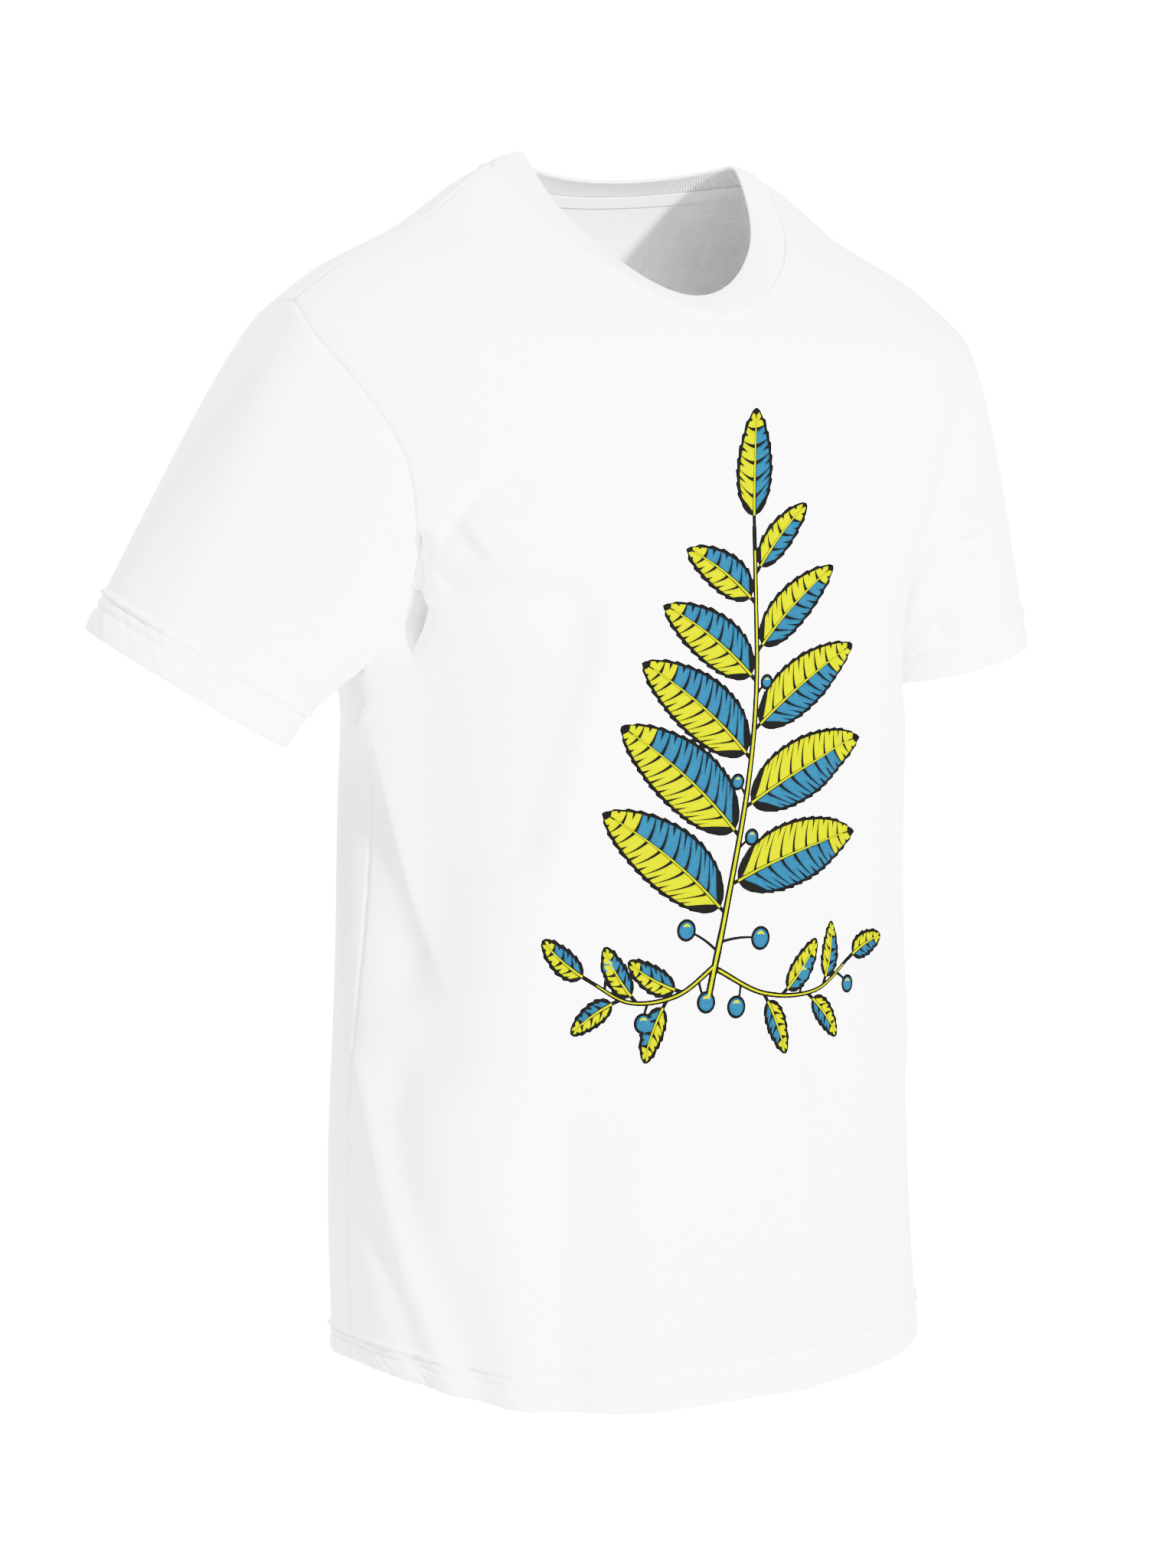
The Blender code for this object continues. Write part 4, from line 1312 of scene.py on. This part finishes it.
# Place along the float in its lengths, its width and its rise in radii of the thread
FLOAT_FORM = np.array([(-0.5, 0.0, -1.3), (-0.40, 0.75, -0.35), (-0.15, 1.0, 0.35), (0.15, 1.0, 0.35),
                       (0.40, 0.75, -0.35), (0.5, 0.0, -1.3)])


def stitches(name, rows, pitch=STITCH_PITCH):
    """Rows of small thread floats, each row given by its points and the ways out of the cloth."""
    sides = THREAD_SIDES
    turns = np.arange(sides) * 2 * math.pi / sides
    vertices = []
    faces = []
    for points, normals in rows:
        run = line_lengths(points)
        places = np.arange(pitch / 2, run[-1] - pitch / 2, pitch)
        middle = read_line(places, run, points)
        out = unit(read_line(places, run, normals))
        way = unit(read_line(places + pitch / 3, run, points) - middle)
        beside = unit(np.cross(way, out))
        for m, w, o, b in zip(middle, way, out, beside):
            first = len(vertices)
            for at, wide, rise in FLOAT_FORM[1:-1]:
                spot = m + w * at * STITCH_LENGTH + o * rise * THREAD
                for turn in turns:
                    vertices.append(spot + (b * math.cos(turn) + o * math.sin(turn)) * THREAD * wide)
            for at, wide, rise in FLOAT_FORM[[0, -1]]:
                vertices.append(m + w * at * STITCH_LENGTH + o * rise * THREAD)
            tail = first + 4 * sides
            for i in range(sides):
                n = (i + 1) % sides
                for ring_index in range(3):
                    a = first + ring_index * sides
                    faces.append((a + i, a + n, a + sides + n, a + sides + i))
                faces.append((tail, first + n, first + i))
                faces.append((tail + 1, first + 3 * sides + i, first + 3 * sides + n))
    return piece(name, [tuple(v) for v in vertices], faces, THREAD_LOOK)


def thread_look():
    look, nodes, links, shader = new_look("white_thread", 0.55, 0.5)
    shader.inputs["Sheen Weight"].default_value = 0.2
    strand = nodes.new("ShaderNodeTexNoise")
    strand.inputs["Scale"].default_value = 2500
    place = nodes.new("ShaderNodeTexCoord")
    links.new(place.outputs["Object"], strand.inputs["Vector"])
    colour_by(nodes, links, shader, strand.outputs["Fac"], (0.86, 0.86, 0.87), (0.94, 0.94, 0.94))
    return look


THREAD_LOOK = thread_look()


def row_at(grid, distances, place, lines=slice(None)):
    """The line at a distance from the edge of a finished grid, with the ways out of the cloth."""
    line = []
    ways = []
    for p, n, d in zip(grid["points"][lines], grid["normals"][lines], distances[lines]):
        order = np.argsort(d)
        line.append(read_line(place, d[order], p[order]))
        ways.append(read_line(place, d[order], n[order]))
    return np.array(line), unit(np.array(ways))


# Columns of a panel's grid that hold its hem, and the seam rows' distances from the seam
HEM_COLUMNS = 40
NECK_ROWS = (0.0011, 0.0046)
NECK_PITCH = 0.0027
SHOULDER_ROW = 0.0030

body_hem = []
for grid in PANELS.values():
    heights = np.tile(SIDE_HEIGHTS[:HEM_COLUMNS], (len(grid["points"]), 1))
    body_hem += [row_at(grid, heights, place) for place in HEM_ROWS]
hem_stitches = stitches("hem_stitches", body_hem)
sleeve_hem = [row_at(grid, grid["from_hem"], place) for grid in SLEEVES.values() for place in SLEEVE_HEM_ROWS]
sleeve_stitches = stitches("sleeve_hem_stitches", sleeve_hem)

neck_rows = []
shoulder_rows = []
for grid in PANELS.values():
    left = len(grid["points"]) // 2 - grid["neck"]
    right = len(grid["points"]) // 2 + grid["neck"]
    neck_rows += [row_at(grid, grid["down"], place, slice(left, right + 1)) for place in NECK_ROWS]
    for lines in (slice(2, left + 1), slice(right, -2)):
        shoulder_rows.append(row_at(grid, grid["down"], SHOULDER_ROW, lines))
neck_stitches = stitches("neck_stitches", neck_rows, pitch=NECK_PITCH)
shoulder_stitches = stitches("shoulder_stitches", shoulder_rows)

# Studio
# The shirt stands on a plain pale floor under an even white sky of light.
# A small lamp in front throws the shade into the neck, and three broad ones fill the front, side and back.

# The floor and sky glow softly on the shirt, and print as plain white where the camera sees them
FLOOR_SIZE = 60.0
FLOOR_COLOUR = (0.93, 0.93, 0.93)
FLOOR_GLOW = 0.34
FLOOR_SEEN = 12.0
SKY_STRENGTH = 0.24
SKY_SEEN = 12.0
CAMERA_AZIMUTH = -34.0
CAMERA_ELEVATION = 4.945
CAMERA_DISTANCE = 2.05
CAMERA_TARGET = (-0.0292, 0.0, 0.3538)
FOCAL_PIXELS = 4407.8
FRAME_HEIGHT = 2048
SENSOR = 36.0

# name, azimuth, elevation, distance, size, power
LAMPS = (
    ("key_lamp", 8.0, 13.0, 3.2, 0.28, 270.0),
    ("fill_lamp", -10.0, 30.0, 2.4, 1.60, 30.0),
    ("side_lamp", -125.0, 58.0, 2.4, 1.20, 92.0),
    ("back_lamp", 170.0, 25.0, 2.4, 1.60, 56.0),
)

# Light as it falls on the film, and how bright it prints
FILM_WHITE = 10.0
FILM = ((0.4, 0.43), (0.6, 0.568), (0.75, 0.628), (1.0, 0.698), (1.4, 0.778), (1.9, 0.846),
        (2.5, 0.892), (3.2, 0.924), (4.2, 0.950), (6.0, 0.967))


def compass(azimuth, elevation):
    a = math.radians(azimuth)
    e = math.radians(elevation)
    return Vector((math.sin(a) * math.cos(e), -math.cos(a) * math.cos(e), math.sin(e)))


def seen_brighter(tree, socket, lit, seen):
    """Gives a light one strength on the shirt and another where the camera sees it directly."""
    path = tree.nodes.new("ShaderNodeLightPath")
    mix = tree.nodes.new("ShaderNodeMapRange")
    mix.inputs["To Min"].default_value = lit
    mix.inputs["To Max"].default_value = seen
    tree.links.new(path.outputs["Is Camera Ray"], mix.inputs["Value"])
    tree.links.new(mix.outputs["Result"], socket)


bpy.ops.mesh.primitive_grid_add(x_subdivisions=2, y_subdivisions=2, size=FLOOR_SIZE)
floor = bpy.context.object
floor.name = "studio_floor"
floor_look, _, _, floor_shader = new_look("pale_floor", 0.9, 0.1)
floor_shader.inputs["Base Color"].default_value = (*FLOOR_COLOUR, 1)
floor_shader.inputs["Emission Color"].default_value = (1, 1, 1, 1)
seen_brighter(floor_look.node_tree, floor_shader.inputs["Emission Strength"], FLOOR_GLOW, FLOOR_SEEN)
floor_look.cycles.emission_sampling = "NONE"
floor.data.materials.append(floor_look)

scene = bpy.context.scene
world = bpy.data.worlds.new("studio_sky")
scene.world = world
world.use_nodes = True
sky = world.node_tree.nodes["Background"]
sky.inputs["Color"].default_value = (1, 1, 1, 1)
seen_brighter(world.node_tree, sky.inputs["Strength"], SKY_STRENGTH, SKY_SEEN)
world.cycles.sampling_method = "NONE"

target = Vector(CAMERA_TARGET) - MIDDLE


def facing(name, data, azimuth, elevation, distance):
    """Stands a lamp or the camera at a distance from the shirt and turns it to face it."""
    made = bpy.data.objects.new(name, data)
    scene.collection.objects.link(made)
    way = compass(azimuth, elevation)
    made.location = target + way * distance
    made.rotation_mode = "QUATERNION"
    made.rotation_quaternion = (-way).to_track_quat("-Z", "Y")
    return made


for name, azimuth, elevation, distance, size, power in LAMPS:
    lamp_data = bpy.data.lights.new(name, "AREA")
    lamp_data.shape = "DISK"
    lamp_data.size = size
    lamp_data.energy = power
    facing(name, lamp_data, azimuth, elevation, distance).visible_camera = False

camera_data = bpy.data.cameras.new("camera")
camera_data.sensor_width = SENSOR
camera_data.lens = FOCAL_PIXELS / FRAME_HEIGHT * SENSOR
scene.camera = facing("camera", camera_data, CAMERA_AZIMUTH, CAMERA_ELEVATION, CAMERA_DISTANCE)

view = scene.view_settings
view.view_transform = "Standard"
view.use_curve_mapping = True
film = view.curve_mapping
film.white_level = (FILM_WHITE, FILM_WHITE, FILM_WHITE)
for light, print_tone in FILM:
    film.curves[3].points.new(light / FILM_WHITE, print_tone)
film.update()
